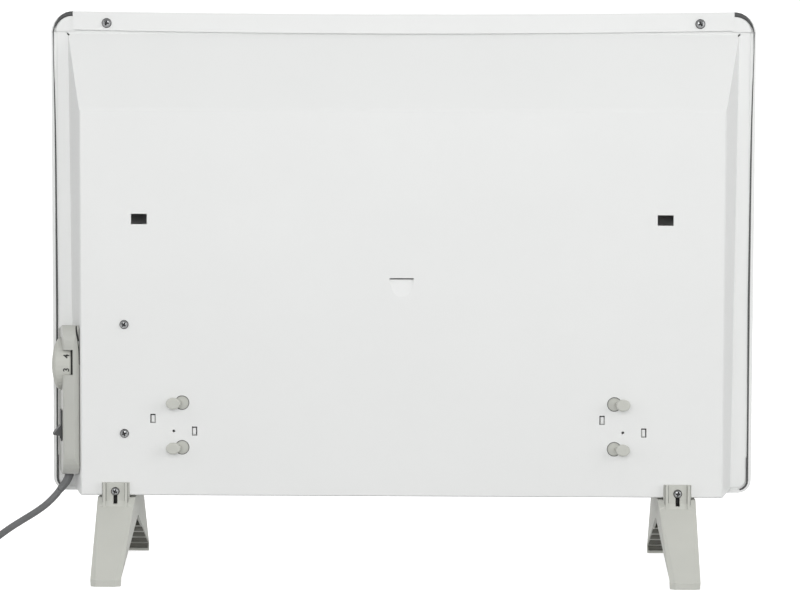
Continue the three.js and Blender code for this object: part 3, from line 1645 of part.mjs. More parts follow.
const cutoutSpadeEnd = cutoutZ - cutoutRadius - spadeLength / 2 - 1.8;
const thermostatSpadeEnd = knobZ - thermostatWidth / 2 - spadeLength - 1;
const switchSpadeX = switchX - (switchDepth + 5.9) * Math.cos(switchAngle);
const switchSpadeY = switchY - (switchDepth + 5.9) * Math.sin(switchAngle);
const bladeEnd = insulatorLength + 3 + spadeLength + seatGap;
const leads = {
  lead_supply_live: [
    redLead,
    [cordExit[0] + 1.1, 4.3, 89.2],
    [cordExit[0] - 0.2, 6, 96],
    [cordExit[0] - 8.8, 9, 103],
    [switchSpadeX - 1, switchSpadeY, switchZ - 17],
    [switchSpadeX, switchSpadeY, switchZ - switchSpadeZ - 2],
  ],
  lead_supply_neutral: [
    blueLead,
    [cordExit[0] - 1.1, 1.7, 89.2],
    [cordExit[0] - 2.8, 2, 97],
    [cordExit[0] - 13.8, 2, 101],
    [cordExit[0] - 34.8, 2, 103],
    [armRightX + 54, 3, 112],
    [armRightX + 40, elementY, 122],
    [armRightX + bladeEnd, elementY, elementZ],
  ],
  lead_switched: [
    redLead,
    [switchSpadeX, switchSpadeY, switchZ + switchSpadeZ + 2],
    [thermostatSpades[0] + 7.8, 7.5, 140],
    [thermostatSpades[0] + 1.8, 6.4, 145.5],
    [thermostatSpades[0], knobY, thermostatSpadeEnd],
  ],
  lead_thermostat: [
    redLead,
    [thermostatSpades[1], knobY, thermostatSpadeEnd],
    [thermostatSpades[1] - 3.2, 4, 145],
    [thermostatSpades[1] - 18.2, 1, 146],
    [armRightX + 28, 0, 186],
    [armRightX - 18, 3, 222],
    [armRightX / 2 - 4, 9, 243],
    [25, cutoutFrontY + 3.4, 247],
    [cutoutSpadeX, cutoutFrontY + 3.4, cutoutSpadeEnd],
  ],
  lead_cutout: [
    redLead,
    [-cutoutSpadeX, cutoutFrontY + 3.4, cutoutSpadeEnd],
    [-25, cutoutFrontY + 3.4, 247],
    [armLeftX / 2, 9, 243],
    [armLeftX + 12, 3, 222],
    [armLeftX - 38, 1, 176],
    [armLeftX - 43, 2, 140],
    [armLeftX - 36, elementY, 128],
    [armLeftX - bladeEnd, elementY, elementZ],
  ],
};
for (const [name, [material, ...route]] of Object.entries(leads)) {
  place(name, tube(route, leadRadius, 6, 14), material);
}

const coilGap = leastGap(coil, cordDiameter);
const cordTotal = pathLength(fromSide(cordRoute).map(vector)) + pathLength(coil);
console.log(`coil: least gap to itself ${coilGap.toFixed(2)} mm`);
console.log(`mains lead: ${(cordTotal / 1000).toFixed(3)} m from the strain relief to the plug`);

export default heater;
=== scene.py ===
import json
import math

import bmesh
import bpy
from mathutils import Matrix, Vector


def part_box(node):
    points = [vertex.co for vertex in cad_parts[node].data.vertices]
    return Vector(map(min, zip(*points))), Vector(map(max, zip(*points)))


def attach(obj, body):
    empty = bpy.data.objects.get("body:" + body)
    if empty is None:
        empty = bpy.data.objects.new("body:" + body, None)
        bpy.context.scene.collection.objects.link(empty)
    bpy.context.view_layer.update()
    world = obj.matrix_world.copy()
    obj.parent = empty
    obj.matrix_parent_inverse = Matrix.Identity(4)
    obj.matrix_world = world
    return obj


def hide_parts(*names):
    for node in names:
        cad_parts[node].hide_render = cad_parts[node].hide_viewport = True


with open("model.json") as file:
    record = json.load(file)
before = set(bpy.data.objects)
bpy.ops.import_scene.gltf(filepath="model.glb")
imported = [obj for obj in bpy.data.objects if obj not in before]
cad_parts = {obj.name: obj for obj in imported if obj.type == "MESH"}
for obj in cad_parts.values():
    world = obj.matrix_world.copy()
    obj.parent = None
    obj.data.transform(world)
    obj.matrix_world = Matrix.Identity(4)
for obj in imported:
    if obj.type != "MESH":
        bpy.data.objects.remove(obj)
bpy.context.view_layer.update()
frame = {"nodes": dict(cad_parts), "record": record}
nodes = frame["nodes"]
scene = bpy.context.scene
scene.view_settings.view_transform = "Standard"


# ------------------------------------------------------------------ camera

CAMERA_PLACE = (-0.01967, 1.67537, 0.31388)
# Yaw, pitch and roll in degrees.
CAMERA_TURN = (0.729, 2.954, 0.166)


def place_camera():
    """The photograph's view of the back: a long lens, slightly above the middle."""
    yaw, pitch, roll = (math.radians(angle) for angle in CAMERA_TURN)
    forward = Vector((math.sin(yaw) * math.cos(pitch), -math.cos(yaw) * math.cos(pitch), -math.sin(pitch)))
    right = Vector((-math.cos(yaw), -math.sin(yaw), 0))
    up = right.cross(forward).normalized()
    rolled_right = right * math.cos(roll) + up * math.sin(roll)
    rolled_up = up * math.cos(roll) - right * math.sin(roll)
    data = bpy.data.cameras.new("camera")
    data.lens = 90
    data.sensor_width = 36
    data.clip_start, data.clip_end = 0.05, 60
    camera = bpy.data.objects.new("camera", data)
    scene.collection.objects.link(camera)
    turn = Matrix((rolled_right, rolled_up, -forward)).transposed().to_4x4()
    camera.matrix_world = Matrix.Translation(CAMERA_PLACE) @ turn
    scene.camera = camera


place_camera()


# ------------------------------------------------------------------ materials

def linear(value):
    return value / 12.92 if value <= 0.04045 else ((value + 0.055) / 1.055) ** 2.4


def colour(r, g, b):
    """A colour written as the 0 to 255 values that it shows on a screen."""
    return (linear(r / 255), linear(g / 255), linear(b / 255), 1)


class Nodes:
    """A short way to write a material's nodes."""

    def __init__(self, name):
        self.material = bpy.data.materials.new(name)
        self.material.use_nodes = True
        self.tree = self.material.node_tree
        self.tree.nodes.clear()
        self.output = self.add("ShaderNodeOutputMaterial")

    def add(self, kind, inputs=None, **settings):
        node = self.tree.nodes.new(kind)
        for key, value in settings.items():
            setattr(node, key, value)
        for key, value in (inputs or {}).items():
            if isinstance(value, bpy.types.NodeSocket):
                self.tree.links.new(value, node.inputs[key])
            else:
                node.inputs[key].default_value = value
        return node

    def place(self):
        return self.add("ShaderNodeTexCoord").outputs["Object"]

    def noise(self, scale, detail=2, roughness=0.5, stretch=None):
        where = self.place()
        if stretch:
            where = self.add("ShaderNodeMapping", {"Vector": where, "Scale": stretch}).outputs[0]
        inputs = {"Vector": where, "Scale": scale, "Detail": detail, "Roughness": roughness}
        return self.add("ShaderNodeTexNoise", inputs).outputs[0]

    def spread(self, value, low, high, from_low=0.3, from_high=0.7):
        inputs = {"Value": value, "From Min": from_low, "From Max": from_high, "To Min": low, "To Max": high}
        return self.add("ShaderNodeMapRange", inputs).outputs[0]

    def between(self, factor, a, b):
        mix = self.add("ShaderNodeMix", data_type="RGBA")
        for socket, value in ((mix.inputs[0], factor), (mix.inputs[6], a), (mix.inputs[7], b)):
            if isinstance(value, bpy.types.NodeSocket):
                self.tree.links.new(value, socket)
            else:
                socket.default_value = value
        return mix.outputs[2]

    def bump(self, height, strength, distance):
        inputs = {"Height": height, "Strength": strength, "Distance": distance}
        return self.add("ShaderNodeBump", inputs).outputs[0]

    def finish(self, **inputs):
        names = {key.replace("_", " ").title(): value for key, value in inputs.items()}
        shader = self.add("ShaderNodeBsdfPrincipled", names)
        self.tree.links.new(shader.outputs[0], self.output.inputs[0])
        return self.material


def shaded(base, amount):
    return tuple(c * amount for c in base[:3]) + (1,)


def painted(name, base):
    """Powder coat: a fine orange peel and very slight cloudiness."""
    m = Nodes(name)
    cloud = m.spread(m.noise(9, 3), 0, 1)
    peel = m.noise(1100, 2, 0.55)
    return m.finish(
        base_color=m.between(cloud, shaded(base, 0.985), base),
        roughness=m.spread(m.noise(320, 2), 0.4, 0.5),
        normal=m.bump(peel, 0.12, 0.0004),
    )


def moulded(name, base, grain=0.2, rough=(0.48, 0.6)):
    """Moulded plastic with a fine spark-eroded grain."""
    m = Nodes(name)
    cloud = m.spread(m.noise(24, 3), 0, 1)
    return m.finish(
        base_color=m.between(cloud, shaded(base, 0.955), base),
        roughness=m.spread(m.noise(240, 2), *rough),
        normal=m.bump(m.noise(1600, 2, 0.6), grain, 0.0003),
    )


def metal(name, base, rough=(0.25, 0.4), stretch=(1, 1, 1), scale=700):
    """Bright metal with fine marks, drawn out along one direction where it was rolled or drawn."""
    m = Nodes(name)
    marks = m.noise(scale, 3, 0.6, stretch)
    return m.finish(
        base_color=m.between(m.spread(marks, 0, 1), shaded(base, 0.86), base),
        metallic=1.0,
        roughness=m.spread(marks, *rough),
        normal=m.bump(marks, 0.12, 0.0002),
    )


def spangled(name, base):
    """Galvanised sheet, with its large faint crystals."""
    m = Nodes(name)
    cells = m.add("ShaderNodeTexVoronoi", {"Vector": m.place(), "Scale": 160}).outputs["Color"]
    tone = m.add("ShaderNodeSeparateColor", {"Color": cells}).outputs[0]
    return m.finish(
        base_color=m.between(tone, shaded(base, 0.82), base),
        metallic=1.0,
        roughness=m.spread(tone, 0.32, 0.5, 0, 1),
        normal=m.bump(m.noise(900, 2), 0.08, 0.0002),
    )


def rubbery(name, base, grain=0.15):
    """Flexible sheath: matt, with a faint drawn grain and a little dust."""
    m = Nodes(name)
    dust = m.spread(m.noise(60, 4, 0.6), 0, 1)
    return m.finish(
        base_color=m.between(dust, base, shaded(base, 1.25)),
        roughness=m.spread(m.noise(300, 2), 0.5, 0.66),
        normal=m.bump(m.noise(1400, 2, 0.6), grain, 0.0002),
    )


def chalky(name, base):
    """Unglazed ceramic."""
    m = Nodes(name)
    return m.finish(
        base_color=m.between(m.spread(m.noise(80, 4), 0, 1), shaded(base, 0.9), base),
        roughness=m.spread(m.noise(500, 2), 0.65, 0.85),
        normal=m.bump(m.noise(1200, 3, 0.7), 0.25, 0.0003),
    )


WHITE = colour(232, 233, 232)
GREY = colour(196, 197, 190)
DARK = colour(74, 75, 75)
CORD = colour(103, 104, 105)
# The feet's grey darkened for the housing: painted shade.
SHADED_HOUSING_GREY = colour(184, 185, 179)
looks = {
    "white_paint": painted("white_paint", WHITE),
    "grey_plastic": moulded("grey_plastic", GREY),
    "dark_plastic": moulded("dark_plastic", DARK),
    "black_plastic": moulded("black_plastic", colour(38, 39, 40), rough=(0.4, 0.52)),
    "cord_sheath": rubbery("cord_sheath", CORD),
    "zinc": metal("zinc", colour(205, 207, 208), (0.22, 0.36)),
    "aluminium": metal("aluminium", colour(206, 208, 210), (0.3, 0.45), (0.02, 1, 1)),
    "steel": spangled("steel", colour(186, 189, 192)),
    "ceramic": chalky("ceramic", colour(236, 232, 220)),
    "nickel": metal("nickel", colour(214, 210, 200), (0.12, 0.24)),
    "red_lead": rubbery("red_lead", colour(150, 48, 40), 0.05),
    "blue_lead": rubbery("blue_lead", colour(46, 78, 132), 0.05),
}
# The housing: the feet's grey plastic, glossier, with its darker tone painted shade.
shaded_housing_look = moulded("housing_plastic_shaded", SHADED_HOUSING_GREY, 0.12, (0.3, 0.4))
# Screw heads: plated metal darkened to mid grey, as a painted dark reflection.
screw_dark_reflection_look = metal("screw_painted_reflection", colour(150, 151, 152), (0.14, 0.24), scale=900)
# Near-black for the faces of each screw's cross: painted shade in the recess.
recess_shade_look = moulded("screw_recess_shade", colour(24, 24, 25), 0.1)
ink_look = moulded("printed_ink", colour(22, 22, 21), 0.05)
# Near-black sheets painted as the shade inside slits, slots, joints and round screw heads.
near_black_shade_look = moulded("painted_gap_shade", colour(26, 26, 26), 0.05, (0.7, 0.8))
# Dark grey plates painted as the shade in the legs' hollow pockets.
pocket_look = moulded("pocket_shade", colour(100, 100, 93), 0.05, (0.7, 0.8))
# Dark grey sheets painted as the shade in narrow gaps and along ribs.
shade_look = moulded("painted_narrow_shade", colour(112, 113, 110), 0.05, (0.7, 0.8))
for part in frame["record"]["subparts"]:
    slots = nodes[part["node"]].data.materials
    slots.clear()
    slots.append(looks[part["material_slot"]])
nodes["control_housing"].data.materials[0] = shaded_housing_look


# ------------------------------------------------------------------ mains lead

# This section is in metres.
LEAD = 0.0058
# From the strain relief to the coil.
ROUTE = [
    (0.2877, 0.00494, 0.0666),
    (0.2914, 0.0054, 0.0619),
    (0.2959, 0.0056, 0.0573),
    (0.3, 0.0056, 0.0536),
    (0.3044, 0.0052, 0.0503),
    (0.3089, 0.0046, 0.0472),
    (0.3133, 0.0038, 0.0444),
    (0.3178, 0.0029, 0.0416),
    (0.3224, 0.0019, 0.0387),
    (0.3276, 0.0007, 0.0354),
    (0.3329, -0.0006, 0.0318),
    (0.34, -0.0025, 0.0266),
    (0.347, -0.0044, 0.0213),
    (0.3545, -0.0064, 0.0156),
    (0.362, -0.0081, 0.0105),
    (0.3695, -0.0093, 0.0067),
    (0.377, -0.0099, 0.0045),
    (0.3859, -0.01, 0.004),
]
COIL_CENTRE = (0.392, 0.0344)
COIL_RADIUS = 0.0348
COIL_PITCH = 0.0064
COIL_LIFT = 0.0011
COIL_STEPS = 156
# Turns in the lower layer, between the layers and in the upper layer.
LOWER, CLIMB, UPPER = 3, 0.5, 2.75
PLUG_RUN = 0.007


def coil_point(turn):
    """The lead's centre after so many turns: inwards on the floor, up, and outwards again."""
    widest = COIL_RADIUS + COIL_PITCH * LOWER / 2
    narrowest = widest - COIL_PITCH * LOWER
    climb = min(max((turn - LOWER) / CLIMB, 0), 1)
    radius = widest - COIL_PITCH * turn
    if turn > LOWER:
        radius = narrowest - COIL_PITCH * CLIMB * climb * (1 - climb)
    if turn > LOWER + CLIMB:
        radius = narrowest + COIL_PITCH * (turn - LOWER - CLIMB)
    angle = -math.pi / 2 + 2 * math.pi * turn
    height = COIL_LIFT + LEAD / 2 + COIL_PITCH * climb * climb * (3 - 2 * climb)
    return (
        COIL_CENTRE[0] + radius * math.cos(angle),
        COIL_CENTRE[1] + radius * math.sin(angle),
        height,
    )


def lead_path():
    total = LOWER + CLIMB + UPPER
    loops = [coil_point(total * i / COIL_STEPS) for i in range(COIL_STEPS + 1)]
    x, y, z = loops[-1]
    return ROUTE + loops + [(x, y + PLUG_RUN, z), (x, y + 2 * PLUG_RUN, z)]


def smooth_through(points, steps=2):
    """A centripetal curve through the points, as a list of close points."""
    p = [Vector(q) for q in points]
    p = [p[0] * 2 - p[1]] + p + [p[-1] * 2 - p[-2]]
    out = []
    for i in range(1, len(p) - 2):
        t = [0.0]
        for a, b in ((i - 1, i), (i, i + 1), (i + 1, i + 2)):
            t.append(t[-1] + max((p[b] - p[a]).length, 1e-6) ** 0.5)
        for k in range(steps):
            s = t[1] + (t[2] - t[1]) * k / steps
            a1 = p[i - 1].lerp(p[i], (s - t[0]) / (t[1] - t[0]))
            a2 = p[i].lerp(p[i + 1], (s - t[1]) / (t[2] - t[1]))
            a3 = p[i + 1].lerp(p[i + 2], (s - t[2]) / (t[3] - t[2]))
            b1 = a1.lerp(a2, (s - t[0]) / (t[2] - t[0]))
            b2 = a2.lerp(a3, (s - t[1]) / (t[3] - t[1]))
            out.append(b1.lerp(b2, (s - t[1]) / (t[2] - t[1])))
    return out + [p[-2]]


def make_lead():
    data = bpy.data.curves.new("mains_lead", "CURVE")
    data.dimensions = "3D"
    points = smooth_through(lead_path())
    spline = data.splines.new("POLY")
    spline.points.add(len(points) - 1)
    for point, co in zip(spline.points, points):
        point.co = (*co, 1)
    data.bevel_depth = LEAD / 2
    data.bevel_resolution = 4
    data.use_fill_caps = True
    lead = bpy.data.objects.new("mains_lead", data)
    scene.collection.objects.link(lead)
    data.materials.append(looks["cord_sheath"])
    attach(lead, "case")
    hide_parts("power_cord", "cord_coil")


make_lead()


# ------------------------------------------------------------------ pieces

MM = 0.001


def make_piece(name, mesh, look, body="case"):
    for face in mesh.polygons:
        face.use_smooth = True
    mesh.materials.clear()
    mesh.materials.append(look)
    piece = bpy.data.objects.new(name, mesh)
    scene.collection.objects.link(piece)
    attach(piece, body)
    return piece


def mesh_of(name, verts, faces):
    """A mesh from points in millimetres, with its faces turned outwards."""
    mesh = bpy.data.meshes.new(name)
    mesh.from_pydata([tuple(c * MM for c in v) for v in verts], [], faces)
    work = bmesh.new()
    work.from_mesh(mesh)
    bmesh.ops.remove_doubles(work, verts=work.verts, dist=1e-7)
    bmesh.ops.recalc_face_normals(work, faces=work.faces)
    work.to_mesh(mesh)
    work.free()
    return mesh


def sharpen(piece, degrees):
    """Smooth shading that stops at edges sharper than the angle."""
    work = bmesh.new()
    work.from_mesh(piece.data)
    for edge in work.edges:
        edge.smooth = edge.is_manifold and edge.calc_face_angle(0) < math.radians(degrees)
    work.to_mesh(piece.data)
    work.free()


def applied(piece):
    """The piece's mesh with its modifiers worked in."""
    bpy.context.view_layer.update()
    return bpy.data.meshes.new_from_object(piece.evaluated_get(bpy.context.evaluated_depsgraph_get()))


def loft(name, rings):
    """A closed body through rings of as many points each."""
    size = len(rings[0])
    verts = [v for ring in rings for v in ring]
    faces = [tuple(range(size)), tuple(range(len(verts) - size, len(verts)))]
    for i in range(len(rings) - 1):
        for k in range(size):
            a, b = i * size + k, i * size + (k + 1) % size
            faces.append((a, b, b + size, a + size))
    return mesh_of(name, verts, faces)


# ------------------------------------------------------------------ edge trim

PANEL_LOW, PANEL_HIGH = (tuple(c / MM for c in corner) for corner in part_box("front_panel"))
TOP_CORNER, BOTTOM_CORNER = 18, 11
CAP_BACK, CAP_FRONT = -12.7, -22.5
# Y of the strip painted as the shadow in the gap between rim and flange.
SHADE_LINE_BACK, SHADE_LINE_FRONT = -12.8, -15
# The caps reach down the side to this height.
CAP_END = 450
# The dark line along the edge: dark plastic caps round the top corners, and below the caps a dark strip
# painted as the shadow in the gap between rim and flange. Where, and how far in from the panel's edge it
# starts and ends.
CAP_AND_SHADE_LINE = [
    ("top", 90.6, 0.05, 3.7),
    ("top", 84, 0.05, 3.6),
    ("top", 72, 0.1, 3.4),
    ("top", 58, 0.35, 3.1),
    ("top", 45, 0.7, 2.9),
    ("top", 30, 1, 2.7),
    ("top", 14, 1.2, 2.5),
    ("side", 451, 1.25, 2.3),
    ("side", 437, 1.25, 2.15),
    ("side", 411, 1.7, 2.65),
    ("side", 394, 2, 3.1),
    ("side", 369, 2.3, 3.6),
    ("side", 343, 2.4, 3.9),
    ("side", 300, 2.5, 4.1),
    ("side", 225, 2.85, 4.5),
    ("side", 140, 2.4, 4),
    ("side", 94, 2.3, 3.9),
    ("side", 75, 2.2, 3.7),
    ("bottom", -20, 2, 3.4),
    ("bottom", -40, 1.9, 3.2),
    ("bottom", -60, 1.8, 3),
    ("bottom", -80, 1.8, 2.9),
]
# The white lip outside the dark line, where the line starts far enough in, and its lower end.
LIP_OUTER, LIP_OVERLAP, LIP_BACK = 0.02, 0.3, CAP_BACK - 0.05
LIP_ROOM = 0.2
LIP_END = ("side", 451.95, LIP_OUTER, 1.5, CAP_FRONT, LIP_BACK)
# The white fold inside the dark line: how far in it starts, at which heights.
FOLD_INNER, FOLD_BACK = 4.85, -13.3
FOLD = {1.9: (451.3, 411, 369, 343), 2.6: (300, 225, 140, 94)}


def edge_point(side, kind, value, inset):
    """A point in from the panel's outline: round its corners by angle, down its side by height."""
    half = PANEL_HIGH[0]
    if kind == "side":
        return side * (half - inset), value
    corner = TOP_CORNER if kind == "top" else BOTTOM_CORNER
    middle = PANEL_HIGH[2] - corner if kind == "top" else PANEL_LOW[2] + corner
    angle = math.radians(value)
    reach = corner - inset
    return side * (half - corner + reach * math.cos(angle)), middle + reach * math.sin(angle)


def edge_strip(name, side, stations, slot):
    """A strip along the panel's edge, with the two corners at its back eased."""
    rings = []
    for kind, value, outer, inner, front, back in stations:
        ease = min(0.3, (inner - outer) / 3)
        section = [
            (outer, front),
            (outer, back - ease),
            (outer + ease, back),
            (inner - ease, back),
            (inner, back - ease),
            (inner, front),
        ]
        rings.append([])
        for inset, y in section:
            x, z = edge_point(side, kind, value, inset)
            rings[-1].append((x, y, z))
    piece = make_piece(name, loft(name, rings), looks[slot])
    sharpen(piece, 50)
    return piece


def make_edges(side, name):
    cap_and_shade_line, lip, fold = [], [], []
    for kind, value, outer, inner in CAP_AND_SHADE_LINE:
        capped = kind == "top" or value > CAP_END
        front, back = (CAP_FRONT, CAP_BACK) if capped else (SHADE_LINE_FRONT, SHADE_LINE_BACK)
        cap_and_shade_line.append((kind, value, outer, inner, front, back))
        if kind == "top" and outer > LIP_ROOM:
            lip.append((kind, value, LIP_OUTER, outer + LIP_OVERLAP, CAP_FRONT, LIP_BACK))
    for outer, heights in FOLD.items():
        fold += [("side", z, outer, FOLD_INNER, SHADE_LINE_FRONT, FOLD_BACK) for z in heights]
    # The caps' dark plastic, carried on down the sides as painted shadow in the gap between rim and flange.
    band = edge_strip(f"edge_cap_and_shade_line_{name}", side, cap_and_shade_line, "dark_plastic")
    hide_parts(f"corner_cap_{name}", f"edge_seal_{name}")
    edge_strip(f"edge_lip_{name}", side, lip + [LIP_END], "white_paint")
    edge_strip(f"edge_fold_{name}", side, fold, "white_paint")


make_edges(1, "right")
make_edges(-1, "left")


# ------------------------------------------------------------------ painted shade in gaps

SIDES = {"right": 1, "left": -1}
# The Y of the cover's back.
BACK = 27
GAP_FLOOR = BACK - 0.5
# X of the cleats and of the holes of the element's brackets.
CLEATS = {"right": 181.7, "left": -176.2}
BRACKET_HOLES = {"right": 188.6, "left": -183.3}
CLEAT_HOLE, CLEAT_DISC = 6.05, 5.45
# On which side of the hole each tab lies, and its height.
TABS = {"upper": (1, 129.8), "lower": (-1, 119.4)}
TAB_REACH = 17.25
# Half of a tab's opening, and the wide parts of its slit: beside the tab, and above it.
TAB_WIDE, TAB_TALL = 2.15, 3.75
TAB_SIDE, TAB_TOP = 1.5, 2.8
# The tab itself: half its width, and its reach below and above its middle.
TAB_INNER, TAB_UNDER, TAB_OVER = 1.75, 3.3, 3
# How far each gap stands out of the back, so that no two of them lie in one plane.
CLEAT_PROUD, TAB_PROUD, WIDE_PROUD = 0.04, 0.03, 0.05
SLIT_PLACE, SLIT_LONG, SLIT_WIDE, SLIT_Y = (281.2, 449.1), 1.9, 0.55, (-14.6, -13.94)
DIAGONAL = 0.7071
# The slot of a foot's clamp, with a plate painted as its shade, and the edges of its two ribs from the foot's
# middle, where dark lines are painted as shade.
SLOT_WIDE, SLOT_Z, SLOT_Y = 1.72, (58.85, 66.4), (26.4, 28.2)
RIB_EDGES, RIB_SHADE, RIB_Z, RIB_Y = (-10.35, -7.65, 7.65, 10.35), 0.22, (57.4, 76.3), (29.6, 30.34)
# The heights of a leg's sole and of its ribs, and how far a shade stays clear of them.
LEG_LEVELS, LEVEL_CLEAR = (1.8, 7.5, 15, 22.5, 30), 0.8
# Half the foot's width at the floor, and how much it gains up to the foot's top.
FOOT_HALF, FOOT_GAIN, FOOT_TOP, FOOT_WALL = 12.1, 3.5, 64, 0.9
POCKET_INSIDE, POCKET_OUTSIDE = 0.5, -0.06
# Y and Z of a leg's inner line, at its toe and at the arch's top.
ARCH_TOE, ARCH_FOOT = 81, 6.8
ARCH_HALF, ARCH_TOP = 6, 42.5
# The joint at the housing's inner edge, with a near-black strip painted as its shade, downwards: X, Z and
# width.
JOINT = [
    (270, 206.1, 0.9),
    (269.6, 203.5, 1.2),
    (269, 200, 1.3),
    (268.3, 196, 1.2),
    (267.9, 192, 1),
    (267.55, 187, 0.8),
    (267.4, 181, 0.5),
    (267.35, 172, 0.25),
]
JOINT_STEPS, JOINT_LIFT, JOINT_DEPTH = 6, 0.4, 2
# The near-black plate painted as the shade in the gap beside the knob.
WINDOW_SHADE_X, WINDOW_SHADE_Z, WINDOW_SHADE_Y = (272.4, 273.9), (165.8, 186.2), (18, 26.2)
# Where rays towards the back start, in metres.
BEHIND = 0.1


def ring_mesh(name, outer, inner, y0, y1):
    """A flat ring between two outlines of as many points."""
    size = len(outer)
    verts = []
    for outline, y in ((outer, y0), (outer, y1), (inner, y1), (inner, y0)):
        verts += [(x, y, z) for x, z in outline]
    faces = []
    for row in range(4):
        for k in range(size):
            a, b = row * size + k, row * size + (k + 1) % size
            c, d = (row + 1) % 4 * size + (k + 1) % size, (row + 1) % 4 * size + k
            faces.append((a, b, c, d))
    return mesh_of(name, verts, faces)


def box_outline(x0, x1, z0, z1):
    return [(x0, z0), (x1, z0), (x1, z1), (x0, z1)]


def loop(x, z, radius, count=36):
    turns = [2 * math.pi * k / count for k in range(count)]
    return [(x + radius * math.cos(a), z + radius * math.sin(a)) for a in turns]


def make_ring(name, outer, inner, y0, y1, look):
    make_piece(name, ring_mesh(name, outer, inner, y0, y1), look)


def make_plate(name, outline, y0, y1, look):
    """A plate with the outline given in X and Z."""
    rings = [[(x, y, z) for x, z in outline] for y in (y0, y1)]
    make_piece(name, loft(name, rings), look)


def middle_of(node):
    low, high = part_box(node)
    return [(a + b) / 2 / MM for a, b in zip(low, high)]


def make_back_gaps():
    """Dark rings and plates painted as the shade in the slits round the cleats and round the tabs of the
    element's brackets.
    """
    for name, x in CLEATS.items():
        for level in ("upper", "lower"):
            z = middle_of(f"cord_cleat_{name}_{level}")[2]
            hole, disc = loop(x, z, CLEAT_HOLE), loop(x, z, CLEAT_DISC)
            make_ring(f"cleat_gap_shade_{name}_{level}", hole, disc, GAP_FLOOR, BACK + CLEAT_PROUD, shade_look)
    for name, x in BRACKET_HOLES.items():
        for level, (way, z) in TABS.items():
            place = x + TAB_REACH * way
            outer = box_outline(place - TAB_WIDE, place + TAB_WIDE, z - TAB_TALL, z + TAB_TALL)
            inner = box_outline(place - TAB_INNER, place + TAB_INNER, z - TAB_UNDER, z + TAB_OVER)
            make_ring(f"tab_gap_shade_{name}_{level}", outer, inner, GAP_FLOOR, BACK + TAB_PROUD, shade_look)
            # The slit is wider above the tab and on the side away from the bracket's hole, and its painted
            # shade is near-black there.
            side, edge = place + TAB_SIDE * way, place + TAB_WIDE * way
            above = box_outline(place - TAB_WIDE, place + TAB_WIDE, z + TAB_TOP, z + TAB_TALL)
            beside = box_outline(min(side, edge), max(side, edge), z - TAB_TALL, z + TAB_TOP)
            make_plate(f"tab_top_shade_{name}_{level}", above, GAP_FLOOR, BACK + WIDE_PROUD, near_black_shade_look)
            make_plate(f"tab_side_shade_{name}_{level}", beside, GAP_FLOOR, BACK + WIDE_PROUD, near_black_shade_look)


def make_corner_slits():
    """Near-black plates painted as the shade in the relief slots at the upper corners of the pan, set along
    the diagonal.
    """
    for name, side in SIDES.items():
        outline = []
        for along, across in box_outline(-SLIT_LONG, SLIT_LONG, -SLIT_WIDE, SLIT_WIDE):
            x, z = (along - across) * DIAGONAL, (along + across) * DIAGONAL
            outline.append((side * (SLIT_PLACE[0] + x), SLIT_PLACE[1] + z))
        make_plate(f"corner_slit_shade_{name}", outline, *SLIT_Y, near_black_shade_look)


def make_foot_gaps():
    """Painted shade: a near-black plate in the slot of each foot's clamp, and a dark line along each edge of
    the clamp's ribs.
    """
    for name in SIDES:
        x = middle_of(f"foot_{name}")[0]
        slot = box_outline(x - SLOT_WIDE, x + SLOT_WIDE, *SLOT_Z)
        make_plate(f"foot_slot_shade_{name}", slot, *SLOT_Y, near_black_shade_look)
        for i, offset in enumerate(RIB_EDGES):
            outline = box_outline(x + offset - RIB_SHADE, x + offset + RIB_SHADE, *RIB_Z)
            make_plate(f"rib_shade_{name}_{i}", outline, *RIB_Y, shade_look)


def make_pocket_shades():
    """Dark plates painted as the shade on the hollow undersides of the legs, between their ribs."""
    for name in SIDES:
        x = middle_of(f"foot_{name}")[0]
        for sign, leg in ((1, "rear"), (-1, "front")):
            for i, (low, high) in enumerate(zip(LEG_LEVELS, LEG_LEVELS[1:])):
                rings = []
                for z in (low + LEVEL_CLEAR, high - LEVEL_CLEAR):
                    share = max(z - ARCH_FOOT, 0) / (ARCH_TOP - ARCH_FOOT)
                    y = ARCH_TOE + (ARCH_HALF - ARCH_TOE) * share
                    half = FOOT_HALF + FOOT_GAIN * z / FOOT_TOP - FOOT_WALL
                    section = box_outline(-half, half, POCKET_INSIDE, POCKET_OUTSIDE)
                    rings.append([(x + a, sign * (y + b), z) for a, b in section])
                make_piece(f"pocket_{name}_{leg}_{i}", loft("pocket", rings), pocket_look)


def rear_of(names, x, z):
    """Where a line from behind at this X and Z first meets the solids."""
    found = []
    for name in names:
        solid = nodes[name]
        inward = solid.matrix_world.inverted()
        start = inward @ Vector((x * MM, BEHIND, z * MM))
        hit, place, *_ = solid.ray_cast(start, inward.to_3x3() @ Vector((0, -1, 0)))
        if hit:
            found.append((solid.matrix_world @ place).y / MM)
    return max(found)


def make_housing_gaps():
    """Near-black strips painted as shade: in the joint between the housing's inner edge and the pan, and in
    the gap beside the knob.
    """
    stations = []
    for a, b in zip(JOINT, JOINT[1:]):
        for k in range(JOINT_STEPS):
            stations.append(tuple(p + (q - p) * k / JOINT_STEPS for p, q in zip(a, b)))
    rings = []
    for x, z, wide in stations:
        left, right = x - wide / 2, x + wide / 2
        low, high = (rear_of(("control_housing", "back_cover"), end, z) + JOINT_LIFT for end in (left, right))
        rings.append(
            [(left, low - JOINT_DEPTH, z), (left, low, z), (right, high, z), (right, high - JOINT_DEPTH, z)]
        )
    make_piece("housing_joint_shade", loft("joint", rings), near_black_shade_look)
    make_plate("window_gap_shade", box_outline(*WINDOW_SHADE_X, *WINDOW_SHADE_Z), *WINDOW_SHADE_Y, near_black_shade_look)


make_back_gaps()
make_corner_slits()
make_foot_gaps()
make_pocket_shades()
make_housing_gaps()


# ------------------------------------------------------------------ screws

